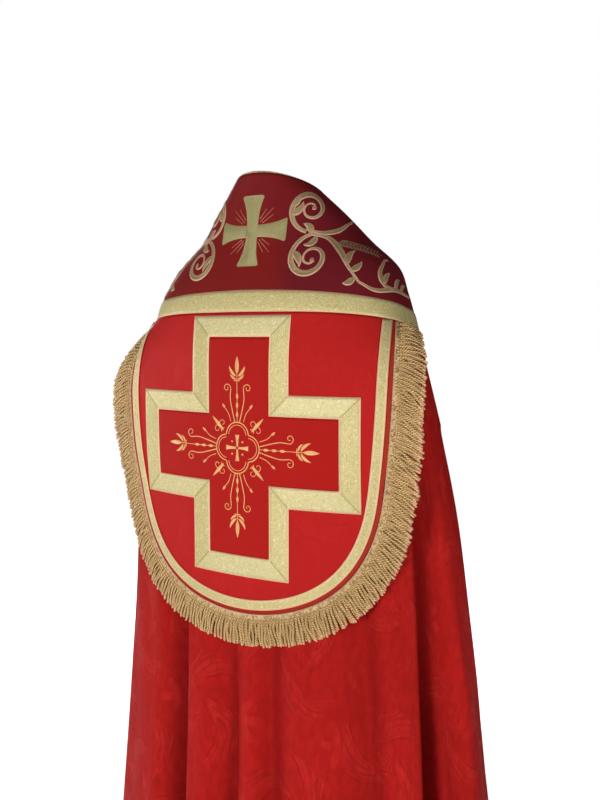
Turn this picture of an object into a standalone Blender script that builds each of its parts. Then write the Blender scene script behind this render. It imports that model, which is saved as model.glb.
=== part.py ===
"""A cope: a long cape of red damask, open down the front, with a dark red orphrey band round the neck
and down both front edges, gold galloons, and a stiff fringed hood hanging on the back."""

from collections import namedtuple

import bpy
import numpy as np

for old in list(bpy.data.objects):
    bpy.data.objects.remove(old, do_unlink=True)

cope = bpy.data.collections.new("Cope")
bpy.context.scene.collection.children.link(cope)

# ---------------------------------------------------------------- sizes, in metres
# z = 0 is the base of the wearer's neck. The wearer faces -Y, and the wearer's right is -X.
# A turn is in degrees round the body, from the centre of the back towards the wearer's right.

Section = namedtuple("Section", "height wide behind front mid square")
SECTIONS = (
    Section(0.105, 0.051, 0.061, 0.052, 0.044, 2.00),
    Section(0.075, 0.081, 0.070, 0.066, 0.034, 2.05),
    Section(0.035, 0.120, 0.090, 0.082, 0.016, 2.10),
    Section(-0.010, 0.159, 0.113, 0.098, -0.001, 2.20),
    Section(-0.055, 0.207, 0.127, 0.110, -0.001, 2.35),
    Section(-0.100, 0.228, 0.126, 0.118, 0.013, 2.50),
    Section(-0.170, 0.250, 0.128, 0.126, 0.019, 2.50),
    Section(-0.280, 0.277, 0.140, 0.134, 0.008, 2.40),
    Section(-0.450, 0.314, 0.157, 0.142, -0.008, 2.25),
    Section(-0.700, 0.345, 0.177, 0.150, -0.026, 2.15),
    Section(-1.000, 0.378, 0.199, 0.160, -0.037, 2.10),
    Section(-1.370, 0.417, 0.228, 0.172, -0.048, 2.10),
)

Edge = namedtuple("Edge", "turn height")
NECK_EDGE = (
    Edge(0, 0.100),
    Edge(30, 0.098),
    Edge(60, 0.091),
    Edge(90, 0.080),
    Edge(120, 0.060),
    Edge(140, 0.026),
    Edge(155, -0.030),
    Edge(166, -0.100),
    Edge(174.9, -0.195),
)
YOKE_EDGE = (
    Edge(0, -0.131),
    Edge(30, -0.133),
    Edge(60, -0.141),
    Edge(85, -0.154),
    Edge(98, -0.168),
    Edge(108, -0.195),
)
# where the orphrey meets the mantle down each front
SIDE_EDGE = (
    Edge(108.0, -0.195),
    Edge(114.0, -0.250),
    Edge(118.5, -0.300),
    Edge(127.5, -0.450),
    Edge(132.0, -0.600),
    Edge(135.5, -0.777),
    Edge(139.0, -1.000),
    Edge(141.5, -1.200),
    Edge(143.5, -1.370),
)
YOKE_TURN = 108.0
CHEST = -0.195
HEM = -1.370
HEM_RISE_AT_FRONT = 0.020
HALF_FRONT_GAP = 0.040

# flutes: valleys pushed in from the smooth outside, deepest at the hem. Each has its own half width
# on the side towards the back's centre, where it is steep, and on the side away from it.
Flute = namedtuple("Flute", "turn depth toward away start lean")
FLUTES = (
    Flute(-135, 0.044, 8, 10, -0.48, 4),
    Flute(-117, 0.082, 8, 10, -0.38, 3),
    Flute(-97, 0.092, 9, 11, -0.32, 2),
    Flute(-76, 0.080, 9, 11, -0.34, 1),
    Flute(-22, 0.104, 5, 15, -0.28, 0),
    Flute(-4, 0.050, 5, 9, -0.40, 0),
    Flute(7, 0.054, 5, 8, -0.45, 0),
    Flute(37, 0.052, 14, 7, -0.35, 0),
    Flute(54, 0.102, 5, 14, -0.22, 11),
    Flute(70, 0.036, 7, 8, -0.30, 0),
    Flute(103, 0.092, 9, 11, -0.32, -1),
    Flute(122, 0.080, 8, 10, -0.38, -3),
    Flute(138, 0.040, 7, 9, -0.48, -4),
)
FLUTE_GROWTH = 0.82
FLUTE_SHARPNESS = 0.85
FRONT_CALM = 0.25
CALM_LEAD = 12
CALM_SPREAD = 16

# the hood: half width and bend of its stiff cloth at each height
HoodRow = namedtuple("HoodRow", "height half bend")
HOOD_ROWS = (
    HoodRow(-0.130, 0.260, 1.10),
    HoodRow(-0.210, 0.260, 1.04),
    HoodRow(-0.290, 0.258, 0.96),
    HoodRow(-0.370, 0.252, 1.03),
    HoodRow(-0.450, 0.242, 1.30),
    HoodRow(-0.530, 0.231, 1.40),
    HoodRow(-0.660, 0.220, 1.35),
)
HOOD_STRAIGHT_END = -0.395
HOOD_ROUND_DROP = 0.2365
HOOD_ROUNDNESS = 0.63
HOOD_OFF_BACK = 0.0075
HOOD_OFF_YOKE = 0.0026
HOOD_LEAVES_BODY_IN = 0.140

MANTLE_THICK = 0.0015
ORPHREY_THICK = 0.0028
HOOD_THICK = 0.0020
GALLOON_THICK = 0.0012
PANEL_THICK = 0.0008
LAYER_GAP = 0.0003
HOOD_LAYER_GAP = 0.0007
SEAM_GAP = 0.0006
CORNER_LIFT = 0.0009

GALLOON_WIDE = 0.037
HOOD_MARGIN = 0.007
HOOD_GALLOON_WIDE = 0.017
CROSS_HALF_BAR = 0.0934
CROSS_HALF_SPAN = 0.2125
CROSS_TOP = -0.137
CROSS_ARM_TOP = -0.264
CROSS_ARM_BOTTOM = -0.4475
CROSS_BOTTOM = -0.569
CROSS_BAND = 0.035

MANTLE_COLUMNS = 100
MANTLE_ROWS = 16
YOKE_STATIONS = 40
BAND_PLAIN_COLUMNS = 5
BAND_GALLOON_COLUMNS = 2
HOOD_COLUMNS = 24
HOOD_GRID_ROWS = 17

FRINGE_STRANDS = 112
FRINGE_HEADER = 0.010
FRINGE_LONG = 0.042
FRINGE_THICK = 0.0020
TUFT_TAPER = 0.0004
FRINGE_SAG = 0.35

PIPING_RADIUS = 0.0016
MORSE_OFF = 0.0010


# ---------------------------------------------------------------- reading the tables
def smooth_read(rows, key, column, at):
    """A column of a table, read smoothly at any value of its key."""
    x = np.array([getattr(row, key) for row in rows], float)
    y = np.array([getattr(row, column) for row in rows], float)
    if x[0] > x[-1]:
        x = x[::-1]
        y = y[::-1]
    at = np.clip(np.asarray(at, float), x[0], x[-1])
    slope = np.gradient(y, x)
    i = np.clip(np.searchsorted(x, at) - 1, 0, len(x) - 2)
    step = x[i + 1] - x[i]
    t = (at - x[i]) / step
    ends = (1 + 2 * t) * (1 - t) ** 2 * y[i] + t * t * (3 - 2 * t) * y[i + 1]
    tangents = t * (1 - t) ** 2 * step * slope[i] + t * t * (t - 1) * step * slope[i + 1]
    return ends + tangents


def neck_edge(turn):
    return smooth_read(NECK_EDGE, "turn", "height", np.abs(turn))


def yoke_edge(turn):
    return smooth_read(YOKE_EDGE, "turn", "height", np.abs(turn))


def side_edge(height):
    return smooth_read(SIDE_EDGE, "height", "turn", height)


def front_edge(height):
    wide = smooth_read(SECTIONS, "height", "wide", height)
    square = smooth_read(SECTIONS, "height", "square", height)
    return 180 - np.degrees(np.arcsin((HALF_FRONT_GAP / wide) ** (square / 2)))


# ---------------------------------------------------------------- the body's surface
def smooth_body(turn, height):
    turn, height = np.broadcast_arrays(np.asarray(turn, float), np.asarray(height, float))
    wide = smooth_read(SECTIONS, "height", "wide", height)
    behind = smooth_read(SECTIONS, "height", "behind", height)
    front = smooth_read(SECTIONS, "height", "front", height)
    mid = smooth_read(SECTIONS, "height", "mid", height)
    power = 2 / smooth_read(SECTIONS, "height", "square", height)
    s = np.sin(np.radians(turn))
    c = np.cos(np.radians(turn))
    x = -wide * np.sign(s) * np.abs(s) ** power
    y = mid + np.where(c > 0, behind, front) * np.sign(c) * np.abs(c) ** power
    return np.stack([x, y, height], -1)


def unit(vectors):
    return vectors / np.linalg.norm(vectors, axis=-1, keepdims=True)


def smooth_out(turn, height):
    """The outward direction of the smooth body."""
    across = smooth_body(turn + 0.5, height) - smooth_body(turn - 0.5, height)
    up = smooth_body(turn, height + 0.003) - smooth_body(turn, height - 0.003)
    return unit(np.cross(across, up))


def flute_depth(turn, height):
    """How far the folds press in at each place."""
    depth = np.zeros(np.broadcast(turn, height).shape)
    for flute in FLUTES:
        line = flute.turn + flute.lean * (height - HEM) / -HEM
        grown = np.clip((flute.start - height) / (flute.start - HEM), 0, 1) ** FLUTE_GROWTH
        off_line = (turn - line) * np.where(line < 0, -1, 1)
        near = np.clip(np.abs(off_line) / np.where(off_line < 0, flute.toward, flute.away), 0, 1)
        depth = depth + flute.depth * grown * (0.5 + 0.5 * np.cos(near**FLUTE_SHARPNESS * np.pi))
    past_side = np.clip((np.abs(turn) - side_edge(height) + CALM_LEAD) / CALM_SPREAD, 0, 1)
    calm = 1 - (1 - FRONT_CALM) * past_side * past_side * (3 - 2 * past_side)
    return depth * calm


def draped(turn, height, lift=0.0):
    """The folded cloth's inner face, or that face moved out by lift."""
    out = smooth_out(turn, height)
    flat_out = unit(out * np.array([1.0, 1.0, 0.0]))
    points = smooth_body(turn, height) - flat_out * flute_depth(turn, height)[..., None]
    return points + out * np.asarray(lift)[..., None]


# ---------------------------------------------------------------- the hood's surface
def turn_at(arc, height):
    """The turn at this distance round the body from the centre of the back."""
    arc, height = np.broadcast_arrays(np.asarray(arc, float), np.asarray(height, float))
    turns = np.linspace(0, 130, 131)
    line = smooth_body(turns, height[..., None])
    steps = np.linalg.norm(np.diff(line, axis=-2), axis=-1)
    far = np.concatenate([np.zeros(arc.shape + (1,)), np.cumsum(steps, -1)], -1)
    found = np.empty(arc.shape)
    for place in np.ndindex(arc.shape):
        found[place] = np.interp(abs(arc[place]), far[place], turns)
    return found * np.sign(arc)


def hood_face(arc, height):
    """The hood's inner face: on the body at the top, then a stiff, gently bent board."""
    arc, height = np.broadcast_arrays(np.asarray(arc, float), np.asarray(height, float))
    turn = turn_at(arc, height)
    near = smooth_body(turn, height) + smooth_out(turn, height) * HOOD_OFF_YOKE
    bend = smooth_read(HOOD_ROWS, "height", "bend", height)
    back = smooth_body(0.0, height)[..., 1] + HOOD_OFF_BACK
    x = -np.sin(arc * bend) / bend
    y = back - (1 - np.cos(arc * bend)) / bend
    board = np.stack([x, y, height], -1)
    down = np.clip((yoke_edge(turn) - height) / HOOD_LEAVES_BODY_IN, 0, 1)
    leave = 1 - (1 - down) ** 2
    return near + (board - near) * leave[..., None]


def hood_at(arc, height, lift=0.0):
    arc, height = np.broadcast_arrays(np.asarray(arc, float), np.asarray(height, float))
    across = hood_face(arc + 0.003, height) - hood_face(arc - 0.003, height)
    up = hood_face(arc, height + 0.003) - hood_face(arc, height - 0.003)
    return hood_face(arc, height) + unit(np.cross(across, up)) * np.asarray(lift)[..., None]


def hood_half(height):
    return smooth_read(HOOD_ROWS, "height", "half", height)


def hood_top(arc):
    """The height of the yoke's lower edge, at this distance round from the centre of the back."""
    arc = np.asarray(arc, float)
    height = np.full(arc.shape, -0.14)
    for _ in range(4):
        height = yoke_edge(turn_at(arc, height))
    return height


def hood_outline(straight_steps, round_steps, inset=0.0):
    """(arc, height) along the hood's free edge, from the wearer's left round to the right."""
    top = float(hood_top(hood_half(-0.15))) - SEAM_GAP
    heights = np.linspace(top, HOOD_STRAIGHT_END, straight_steps, endpoint=False)
    swing = np.radians(np.linspace(-90, 90, round_steps + 1))
    low = HOOD_STRAIGHT_END - HOOD_ROUND_DROP * np.cos(swing) ** HOOD_ROUNDNESS
    left = np.stack([-hood_half(heights), heights], 1)
    bottom = np.stack([np.sin(swing) * hood_half(low), low], 1)
    right = left[::-1] * np.array([-1.0, 1.0])
    line = np.concatenate([left, bottom, right])
    steps = np.linalg.norm(np.diff(line, axis=0), axis=1)
    along = np.concatenate([[0.0], np.cumsum(steps)])
    even = np.linspace(0, along[-1], len(along))
    line = np.stack([np.interp(even, along, line[:, 0]), np.interp(even, along, line[:, 1])], 1)
    ahead = unit(np.gradient(line, axis=0))
    inward = np.stack([-ahead[:, 1], ahead[:, 0]], 1)
    moved = line + inward * inset
    moved[0, 1] = min(moved[0, 1], top)
    moved[-1, 1] = min(moved[-1, 1], top)
    return moved, -inward


# ---------------------------------------------------------------- building objects
def make_look(name, color, roughness, metallic=0.0):
    look = bpy.data.materials.new(name)
    look.use_nodes = True
    shader = look.node_tree.nodes["Principled BSDF"]
    shader.inputs["Base Color"].default_value = (*color, 1)
    shader.inputs["Roughness"].default_value = roughness
    shader.inputs["Metallic"].default_value = metallic
    return look


def add_object(name, points, faces, look):
    mesh = bpy.data.meshes.new(name)
    mesh.from_pydata([tuple(point) for point in points], [], faces)
    mesh.update()
    obj = bpy.data.objects.new(name, mesh)
    obj.data.materials.append(look)
    cope.objects.link(obj)
    return obj


def faces_outward(points, faces):
    """The faces, turned over if they face the body's middle."""
    corner = points[[face[0] for face in faces]]
    second = points[[face[1] for face in faces]]
    third = points[[face[2] for face in faces]]
    normals = np.cross(second - corner, third - corner)
    away = corner * np.array([1.0, 1.0, 0.0])
    if (normals * away).sum() < 0:
        return [tuple(reversed(face)) for face in faces]
    return faces


def thicken(obj, thickness):
    shell = obj.modifiers.new("Cloth", "SOLIDIFY")
    shell.thickness = thickness
    shell.offset = 1
    shell.use_rim = True
    return obj


def grid_faces(rows, columns, wanted=None):
    faces = []
    for r in range(rows - 1):
        for c in range(columns - 1):
            if wanted is None or wanted(r, c):
                a = r * columns + c
                faces.append((a, a + 1, a + columns + 1, a + columns))
    return faces


def cloth(name, grid, thickness, look, wanted=None):
    """A sheet of cloth from a grid of points on its inner face."""
    rows, columns = grid.shape[:2]
    points = grid.reshape(-1, 3)
    faces = grid_faces(rows, columns, wanted)
    used = sorted({index for face in faces for index in face})
    place = {index: n for n, index in enumerate(used)}
    points = points[used]
    faces = [tuple(place[index] for index in face) for face in faces]
    obj = add_object(name, points, faces_outward(points, faces), look)
    return thicken(obj, thickness)


# ---------------------------------------------------------------- colours
damask_red = make_look("Damask red", (0.34, 0.012, 0.010), 0.5)
hood_red = make_look("Hood red", (0.42, 0.018, 0.016), 0.5)
panel_red = make_look("Panel red", (0.36, 0.010, 0.010), 0.55)
dark_red = make_look("Orphrey dark red", (0.14, 0.008, 0.012), 0.6)
galloon_gold = make_look("Galloon gold", (0.60, 0.47, 0.24), 0.4, 0.3)
fringe_gold = make_look("Fringe gold", (0.42, 0.25, 0.11), 0.5, 0.2)


# ---------------------------------------------------------------- the mantle
def mantle_grid():
    share = np.linspace(-1, 1, MANTLE_COLUMNS + 1)
    down = np.linspace(0, 1, MANTLE_ROWS + 1)
    top = yoke_edge(share * YOKE_TURN) - 2 * SEAM_GAP
    hem = HEM + HEM_RISE_AT_FRONT * share * share
    height = top[None, :] + (hem - top)[None, :] * down[:, None]
    side = side_edge(height[:, :1])
    turn = share[None, :] * side
    return draped(turn, height)


cloth("mantle", mantle_grid(), MANTLE_THICK, damask_red)


# ---------------------------------------------------------------- the orphrey band
def band_lines():
    """Turn and height of the band's two edges, from one hem up, round the neck, to the other."""
    down = np.linspace(1, 0, MANTLE_ROWS + 1)[:-1]
    height = CHEST + (HEM + HEM_RISE_AT_FRONT - CHEST) * down
    side = side_edge(height)
    front = front_edge(height)
    share = np.linspace(-1, 1, YOKE_STATIONS + 1)
    yoke_outer = share * YOKE_TURN
    chest_front = front_edge(np.array([CHEST]))[0]
    yoke_inner = yoke_outer + np.sign(share) * (chest_front - YOKE_TURN) * np.abs(share) ** 4
    inner_turn = np.concatenate([-front, yoke_inner, front[::-1]])
    outer_turn = np.concatenate([-side, yoke_outer, side[::-1]])
    inner_height = np.concatenate([height, neck_edge(yoke_inner), height[::-1]])
    outer_height = np.concatenate([height, yoke_edge(yoke_outer), height[::-1]])
    return inner_turn, inner_height, outer_turn, outer_height


def band_grid(lift=0.0):
    inner_turn, inner_height, outer_turn, outer_height = band_lines()
    seam = np.zeros(len(inner_turn))
    seam[: MANTLE_ROWS + 1] = 1
    seam[-MANTLE_ROWS - 1 :] = 1
    reach = np.sign(outer_turn) * seam * 0.10
    first = draped(inner_turn, inner_height)
    last = draped(outer_turn, outer_height)
    wide = np.linalg.norm(last - first, axis=1)
    galloon_share = GALLOON_WIDE / (wide * 1.03)
    rows = []
    for n in range(BAND_PLAIN_COLUMNS + BAND_GALLOON_COLUMNS + 1):
        if n <= BAND_PLAIN_COLUMNS:
            across = (1 - galloon_share) * n / BAND_PLAIN_COLUMNS
        else:
            across = 1 - galloon_share * (1 - (n - BAND_PLAIN_COLUMNS) / BAND_GALLOON_COLUMNS)
        turn = inner_turn + (outer_turn + reach - inner_turn) * across
        height = inner_height + (outer_height - inner_height) * across
        rows.append(draped(turn, height, lift))
    return np.array(rows)


def add_orphrey():
    """The band in three lengths: a straight one down each front, and the shaped yoke between them."""
    band = band_grid()
    lengths = {
        "orphrey_left_front": band[:, : MANTLE_ROWS + 1],
        "orphrey_yoke": band[:, MANTLE_ROWS:-MANTLE_ROWS],
        "orphrey_right_front": band[:, -MANTLE_ROWS - 1 :],
    }
    for name, grid in lengths.items():
        grid = grid.copy()
        grid[:, 0] += unit(grid[:, 1] - grid[:, 0]) * SEAM_GAP / 2
        grid[:, -1] += unit(grid[:, -2] - grid[:, -1]) * SEAM_GAP / 2
        cloth(name, grid, ORPHREY_THICK, dark_red)


add_orphrey()
cloth(
    "orphrey_galloon",
    band_grid(ORPHREY_THICK + LAYER_GAP)[BAND_PLAIN_COLUMNS:],
    GALLOON_THICK,
    galloon_gold,
)


def add_piping():
    """A thin gold cord along the neck and front edges."""
    rows = band_grid(ORPHREY_THICK / 2)
    edge = rows[0]
    inward = unit(rows[0] - rows[1])
    ahead = unit(np.gradient(edge, axis=0))
    out = unit(np.cross(ahead, inward))
    middle = edge + inward * (PIPING_RADIUS + LAYER_GAP)
    ring = [
        middle + inward * PIPING_RADIUS,
        middle + out * PIPING_RADIUS,
        middle - inward * PIPING_RADIUS,
        middle - out * PIPING_RADIUS,
    ]
    points = np.stack(ring, 1).reshape(-1, 3)
    faces = []
    for n in range(len(edge) - 1):
        for k in range(4):
            a = 4 * n + k
            b = 4 * n + (k + 1) % 4
            faces.append((a, b, b + 4, a + 4))
    last = 4 * (len(edge) - 1)
    faces.append((3, 2, 1, 0))
    faces.append((last, last + 1, last + 2, last + 3))
    add_object("edge_piping", points, faces, galloon_gold)


add_piping()


# ---------------------------------------------------------------- the hood
def hood_grid():
    swing = np.radians(np.linspace(-90, 90, HOOD_COLUMNS + 1))
    low = HOOD_STRAIGHT_END - HOOD_ROUND_DROP * np.cos(swing) ** HOOD_ROUNDNESS
    top = hood_top(np.sin(swing) * hood_half(-0.14)) - SEAM_GAP
    down = np.linspace(0, 1, HOOD_GRID_ROWS + 1) ** 1.3
    height = top[None, :] + (low - top)[None, :] * down[:, None]
    arc = np.sin(swing)[None, :] * hood_half(height)
    return hood_at(arc, height)


cloth("hood", hood_grid(), HOOD_THICK, hood_red)


def hood_strip(name, near, far, lift, thickness, look):
    """A strip along the hood's free edge, between two distances in from it."""
    outer, _ = hood_outline(14, 40, near)
    inner, _ = hood_outline(14, 40, far)
    grid = np.stack([outer, (outer + inner) / 2, inner])
    height = grid[..., 1]
    corner = np.clip((height + 0.24) / 0.06, 0, 1) * CORNER_LIFT
    cloth(name, hood_at(grid[..., 0], height, lift + corner), thickness, look)


ON_HOOD = HOOD_THICK + HOOD_LAYER_GAP
galloon_inside = HOOD_MARGIN + HOOD_GALLOON_WIDE
hood_strip("hood_galloon", HOOD_MARGIN, galloon_inside, ON_HOOD, GALLOON_THICK, galloon_gold)


def cross_corners(inset):
    bar = CROSS_HALF_BAR - inset
    span = CROSS_HALF_SPAN - inset
    top = CROSS_TOP - inset
    bottom = CROSS_BOTTOM + inset
    arm_top = CROSS_ARM_TOP - inset
    arm_bottom = CROSS_ARM_BOTTOM + inset
    return np.array(
        [
            (-bar, top),
            (bar, top),
            (bar, arm_top),
            (span, arm_top),
            (span, arm_bottom),
            (bar, arm_bottom),
            (bar, bottom),
            (-bar, bottom),
            (-bar, arm_bottom),
            (-span, arm_bottom),
            (-span, arm_top),
            (-bar, arm_top),
        ]
    )


def add_cross_galloon():
    """One closed band of galloon in the outline of a cross, mitred at its twelve corners."""
    outer = cross_corners(0.0)
    inner = cross_corners(CROSS_BAND)
    lines = [[], [], []]
    for n in range(12):
        m = (n + 1) % 12
        pieces = max(3, round(np.linalg.norm(outer[m] - outer[n]) / 0.026))
        for k in range(pieces):
            share = k / pieces
            a = outer[n] + (outer[m] - outer[n]) * share
            b = inner[n] + (inner[m] - inner[n]) * share
            lines[0].append(a)
            lines[1].append((a + b) / 2)
            lines[2].append(b)
    flat = np.array(lines)
    grid = hood_at(flat[..., 0], flat[..., 1], ON_HOOD)
    count = grid.shape[1]
    points = grid.reshape(-1, 3)
    faces = []
    for r in range(2):
        for c in range(count):
            a = r * count + c
            b = r * count + (c + 1) % count
            faces.append((a, b, b + count, a + count))
    obj = add_object("hood_cross_galloon", points, faces_outward(points, faces), galloon_gold)
    thicken(obj, GALLOON_THICK)


add_cross_galloon()


def add_cross_panel():
    """The plain red cross inside the galloon."""
    gap = CROSS_BAND + LAYER_GAP
    bar = CROSS_HALF_BAR - gap
    span = CROSS_HALF_SPAN - gap
    arcs = np.concatenate(
        [np.linspace(-span, -bar, 6)[:-1], np.linspace(-bar, bar, 6)[:-1], np.linspace(bar, span, 6)]
    )
    heights = np.concatenate(
        [
            np.linspace(CROSS_TOP - gap, CROSS_ARM_TOP - gap, 6)[:-1],
            np.linspace(CROSS_ARM_TOP - gap, CROSS_ARM_BOTTOM + gap, 6)[:-1],
            np.linspace(CROSS_ARM_BOTTOM + gap, CROSS_BOTTOM + gap, 6),
        ]
    )

    def in_cross(row, column):
        return 5 <= row < 10 or 5 <= column < 10

    arc, height = np.meshgrid(arcs, heights)
    cloth("hood_cross_panel", hood_at(arc, height, ON_HOOD), PANEL_THICK, panel_red, in_cross)


add_cross_panel()


# ---------------------------------------------------------------- the fringe
def add_fringe():
    """A woven header along the hood's free edge, with its strands joined to it."""
    line, outward = hood_outline(70, 200, -SEAM_GAP)
    steps = np.linalg.norm(np.diff(line, axis=0), axis=1)
    along = np.concatenate([[0.0], np.cumsum(steps)])
    stations = []
    pitch = along[-1] / (FRINGE_STRANDS - 0.36)
    for n in range(FRINGE_STRANDS):
        stations.append(n * pitch)
        stations.append(min(n * pitch + 0.64 * pitch, along[-1]))
    stations = np.array(stations)
    base = np.stack([np.interp(stations, along, line[:, k]) for k in (0, 1)], 1)
    away = unit(np.stack([np.interp(stations, along, outward[:, k]) for k in (0, 1)], 1))
    rim = base + away * FRINGE_HEADER
    ceiling = hood_top(rim[:, 0]) - 2 * SEAM_GAP
    rim[:, 1] = np.minimum(rim[:, 1], ceiling)
    hang = unit(away + np.array([0.0, -FRINGE_SAG]))
    tip = rim + hang * FRINGE_LONG
    low = HOOD_THICK / 2 - FRINGE_THICK / 2 + TUFT_TAPER
    high = low + FRINGE_THICK
    tuft_low = low + TUFT_TAPER
    tuft_high = high - TUFT_TAPER
    stiff = np.clip((base[:, 1] + 0.34) / 0.2, 0, 1) * 0.007
    points = []
    for flat, lift in ((base, low), (base, high), (rim, low), (rim, high)):
        points.append(hood_at(flat[:, 0], flat[:, 1], np.full(len(flat), lift)))
    middle = (tip[0::2] + tip[1::2]) / 2
    first = middle + (tip[0::2] - middle) * 0.7
    second = middle + (tip[1::2] - middle) * 0.7
    free = stiff[0::2]
    for flat in (first, second):
        for lift in (tuft_low, tuft_high):
            points.append(hood_at(flat[:, 0], flat[:, 1], lift + free))
    count = len(stations)
    rows = np.concatenate(points)
    strands = FRINGE_STRANDS
    tips = 4 * count
    faces = [(0, count, 3 * count, 2 * count)]
    last = count - 1
    faces.append((last, last + 2 * count, last + 3 * count, last + count))
    for n in range(count - 1):
        base_low = n
        base_high = n + count
        rim_low = n + 2 * count
        rim_high = n + 3 * count
        faces.append((base_low, base_low + 1, base_high + 1, base_high))
        faces.append((base_high, base_high + 1, rim_high + 1, rim_high))
        faces.append((rim_low, rim_low + 1, base_low + 1, base_low))
        if n % 2:
            faces.append((rim_high, rim_high + 1, rim_low + 1, rim_low))
            continue
        k = n // 2
        a_low = tips + k
        a_high = tips + strands + k
        b_low = tips + 2 * strands + k
        b_high = tips + 3 * strands + k
        faces.append((rim_high, rim_high + 1, b_high, a_high))
        faces.append((rim_low + 1, rim_low, a_low, b_low))
        faces.append((rim_low, rim_high, a_high, a_low))
        faces.append((rim_high + 1, rim_low + 1, b_low, b_high))
        faces.append((a_low, a_high, b_high, b_low))
    faces = [tuple(reversed(face)) for face in faces]
    add_object("hood_fringe", rows, faces, fringe_gold)


add_fringe()


# ---------------------------------------------------------------- the clasp
def add_morse():
    """The plain cloth tab that holds the two fronts together at the chest."""
    arcs = np.linspace(-0.075, 0.075, 11)
    heights = np.linspace(-0.208, -0.272, 5)
    x, z = np.meshgrid(arcs, heights)
    wide = smooth_read(SECTIONS, "height", "wide", z)
    square = smooth_read(SECTIONS, "height", "square", z)
    turn = 180 - np.degrees(np.arcsin((np.abs(x) / wide) ** (square / 2)))
    grid = draped(turn * np.where(x > 0, -1, 1), z, ORPHREY_THICK + MORSE_OFF)
    cloth("morse", grid, ORPHREY_THICK, dark_red)


add_morse()
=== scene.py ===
"""A cope: a long cape of red damask, open down the front, with a dark red orphrey band round the neck
and down both front edges, gold galloons, and a stiff fringed hood hanging on the back."""

import math
import random
from collections import namedtuple

import bmesh
import bpy
import numpy as np
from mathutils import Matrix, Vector


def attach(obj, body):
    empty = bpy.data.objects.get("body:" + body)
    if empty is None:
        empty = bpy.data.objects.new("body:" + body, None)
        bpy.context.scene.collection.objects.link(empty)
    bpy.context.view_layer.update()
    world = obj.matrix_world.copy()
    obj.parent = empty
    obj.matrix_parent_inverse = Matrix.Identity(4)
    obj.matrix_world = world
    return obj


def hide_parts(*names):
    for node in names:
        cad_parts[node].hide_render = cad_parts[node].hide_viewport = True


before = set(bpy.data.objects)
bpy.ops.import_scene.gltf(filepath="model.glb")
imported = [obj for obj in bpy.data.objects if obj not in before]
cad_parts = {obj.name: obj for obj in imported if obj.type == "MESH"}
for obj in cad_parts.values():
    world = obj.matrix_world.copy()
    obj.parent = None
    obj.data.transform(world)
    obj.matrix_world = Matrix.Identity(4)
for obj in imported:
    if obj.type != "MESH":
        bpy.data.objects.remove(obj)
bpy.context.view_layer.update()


# ---- sizes, in metres
# z = 0 is the base of the wearer's neck. The wearer faces -Y, and the wearer's right is -X.
# A turn is in degrees round the body, from the centre of the back towards the wearer's right.
def table(columns, *rows):
    """Rows of numbers under named columns. Each column can be read as an array."""
    return namedtuple("Table", columns)(*np.array(rows, float).T)


SECTIONS = table(
    "height wide behind front mid square",
    (0.105, 0.051, 0.061, 0.052, 0.044, 2.00),
    (0.075, 0.081, 0.070, 0.066, 0.034, 2.05),
    (0.035, 0.120, 0.090, 0.082, 0.016, 2.10),
    (-0.010, 0.159, 0.113, 0.098, -0.001, 2.20),
    (-0.055, 0.207, 0.127, 0.110, -0.001, 2.35),
    (-0.100, 0.228, 0.126, 0.118, 0.013, 2.50),
    (-0.170, 0.250, 0.128, 0.126, 0.019, 2.50),
    (-0.280, 0.277, 0.140, 0.134, 0.008, 2.40),
    (-0.450, 0.314, 0.157, 0.142, -0.008, 2.25),
    (-0.700, 0.345, 0.177, 0.150, -0.026, 2.15),
    (-1.000, 0.378, 0.199, 0.160, -0.037, 2.10),
    (-1.370, 0.417, 0.228, 0.172, -0.048, 2.10),
)
NECK_EDGE = table(
    "turn height",
    (0, 0.100),
    (30, 0.098),
    (60, 0.091),
    (90, 0.080),
    (120, 0.060),
    (140, 0.026),
    (155, -0.030),
    (166, -0.100),
    (174.9, -0.195),
)
YOKE_EDGE = table(
    "turn height",
    (0, -0.131),
    (30, -0.133),
    (60, -0.141),
    (85, -0.154),
    (98, -0.168),
    (108, -0.195),
)
# where the orphrey meets the mantle down each front
SIDE_EDGE = table(
    "turn height",
    (108.0, -0.195),
    (114.0, -0.250),
    (118.5, -0.300),
    (127.5, -0.450),
    (132.0, -0.600),
    (135.5, -0.777),
    (139.0, -1.000),
    (141.5, -1.200),
    (143.5, -1.370),
)
YOKE_TURN = 108.0
CHEST = -0.195
HEM = -1.370
HEM_RISE_AT_FRONT = 0.020
HALF_FRONT_GAP = 0.040

# flutes: valleys pushed in from the smooth outside, deepest at the hem. Each has its own half width
# on the side towards the back's centre, where it is steep, and on the side away from it.
FLUTES = table(
    "turn depth toward away start lean",
    (-135, 0.044, 8, 10, -0.48, 4),
    (-117, 0.082, 8, 10, -0.38, 3),
    (-97, 0.092, 9, 11, -0.32, 2),
    (-76, 0.080, 9, 11, -0.34, 1),
    (-22, 0.104, 5, 15, -0.28, 0),
    (-4, 0.050, 5, 9, -0.40, 0),
    (7, 0.054, 5, 8, -0.45, 0),
    (37, 0.052, 14, 7, -0.35, 0),
    (54, 0.102, 5, 14, -0.22, 11),
    (70, 0.036, 7, 8, -0.30, 0),
    (103, 0.092, 9, 11, -0.32, -1),
    (122, 0.080, 8, 10, -0.38, -3),
    (138, 0.040, 7, 9, -0.48, -4),
)
FLUTE_GROWTH = 0.82
FLUTE_SHARPNESS = 0.85
FRONT_CALM = 0.25
CALM_LEAD = 12
CALM_SPREAD = 16

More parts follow.
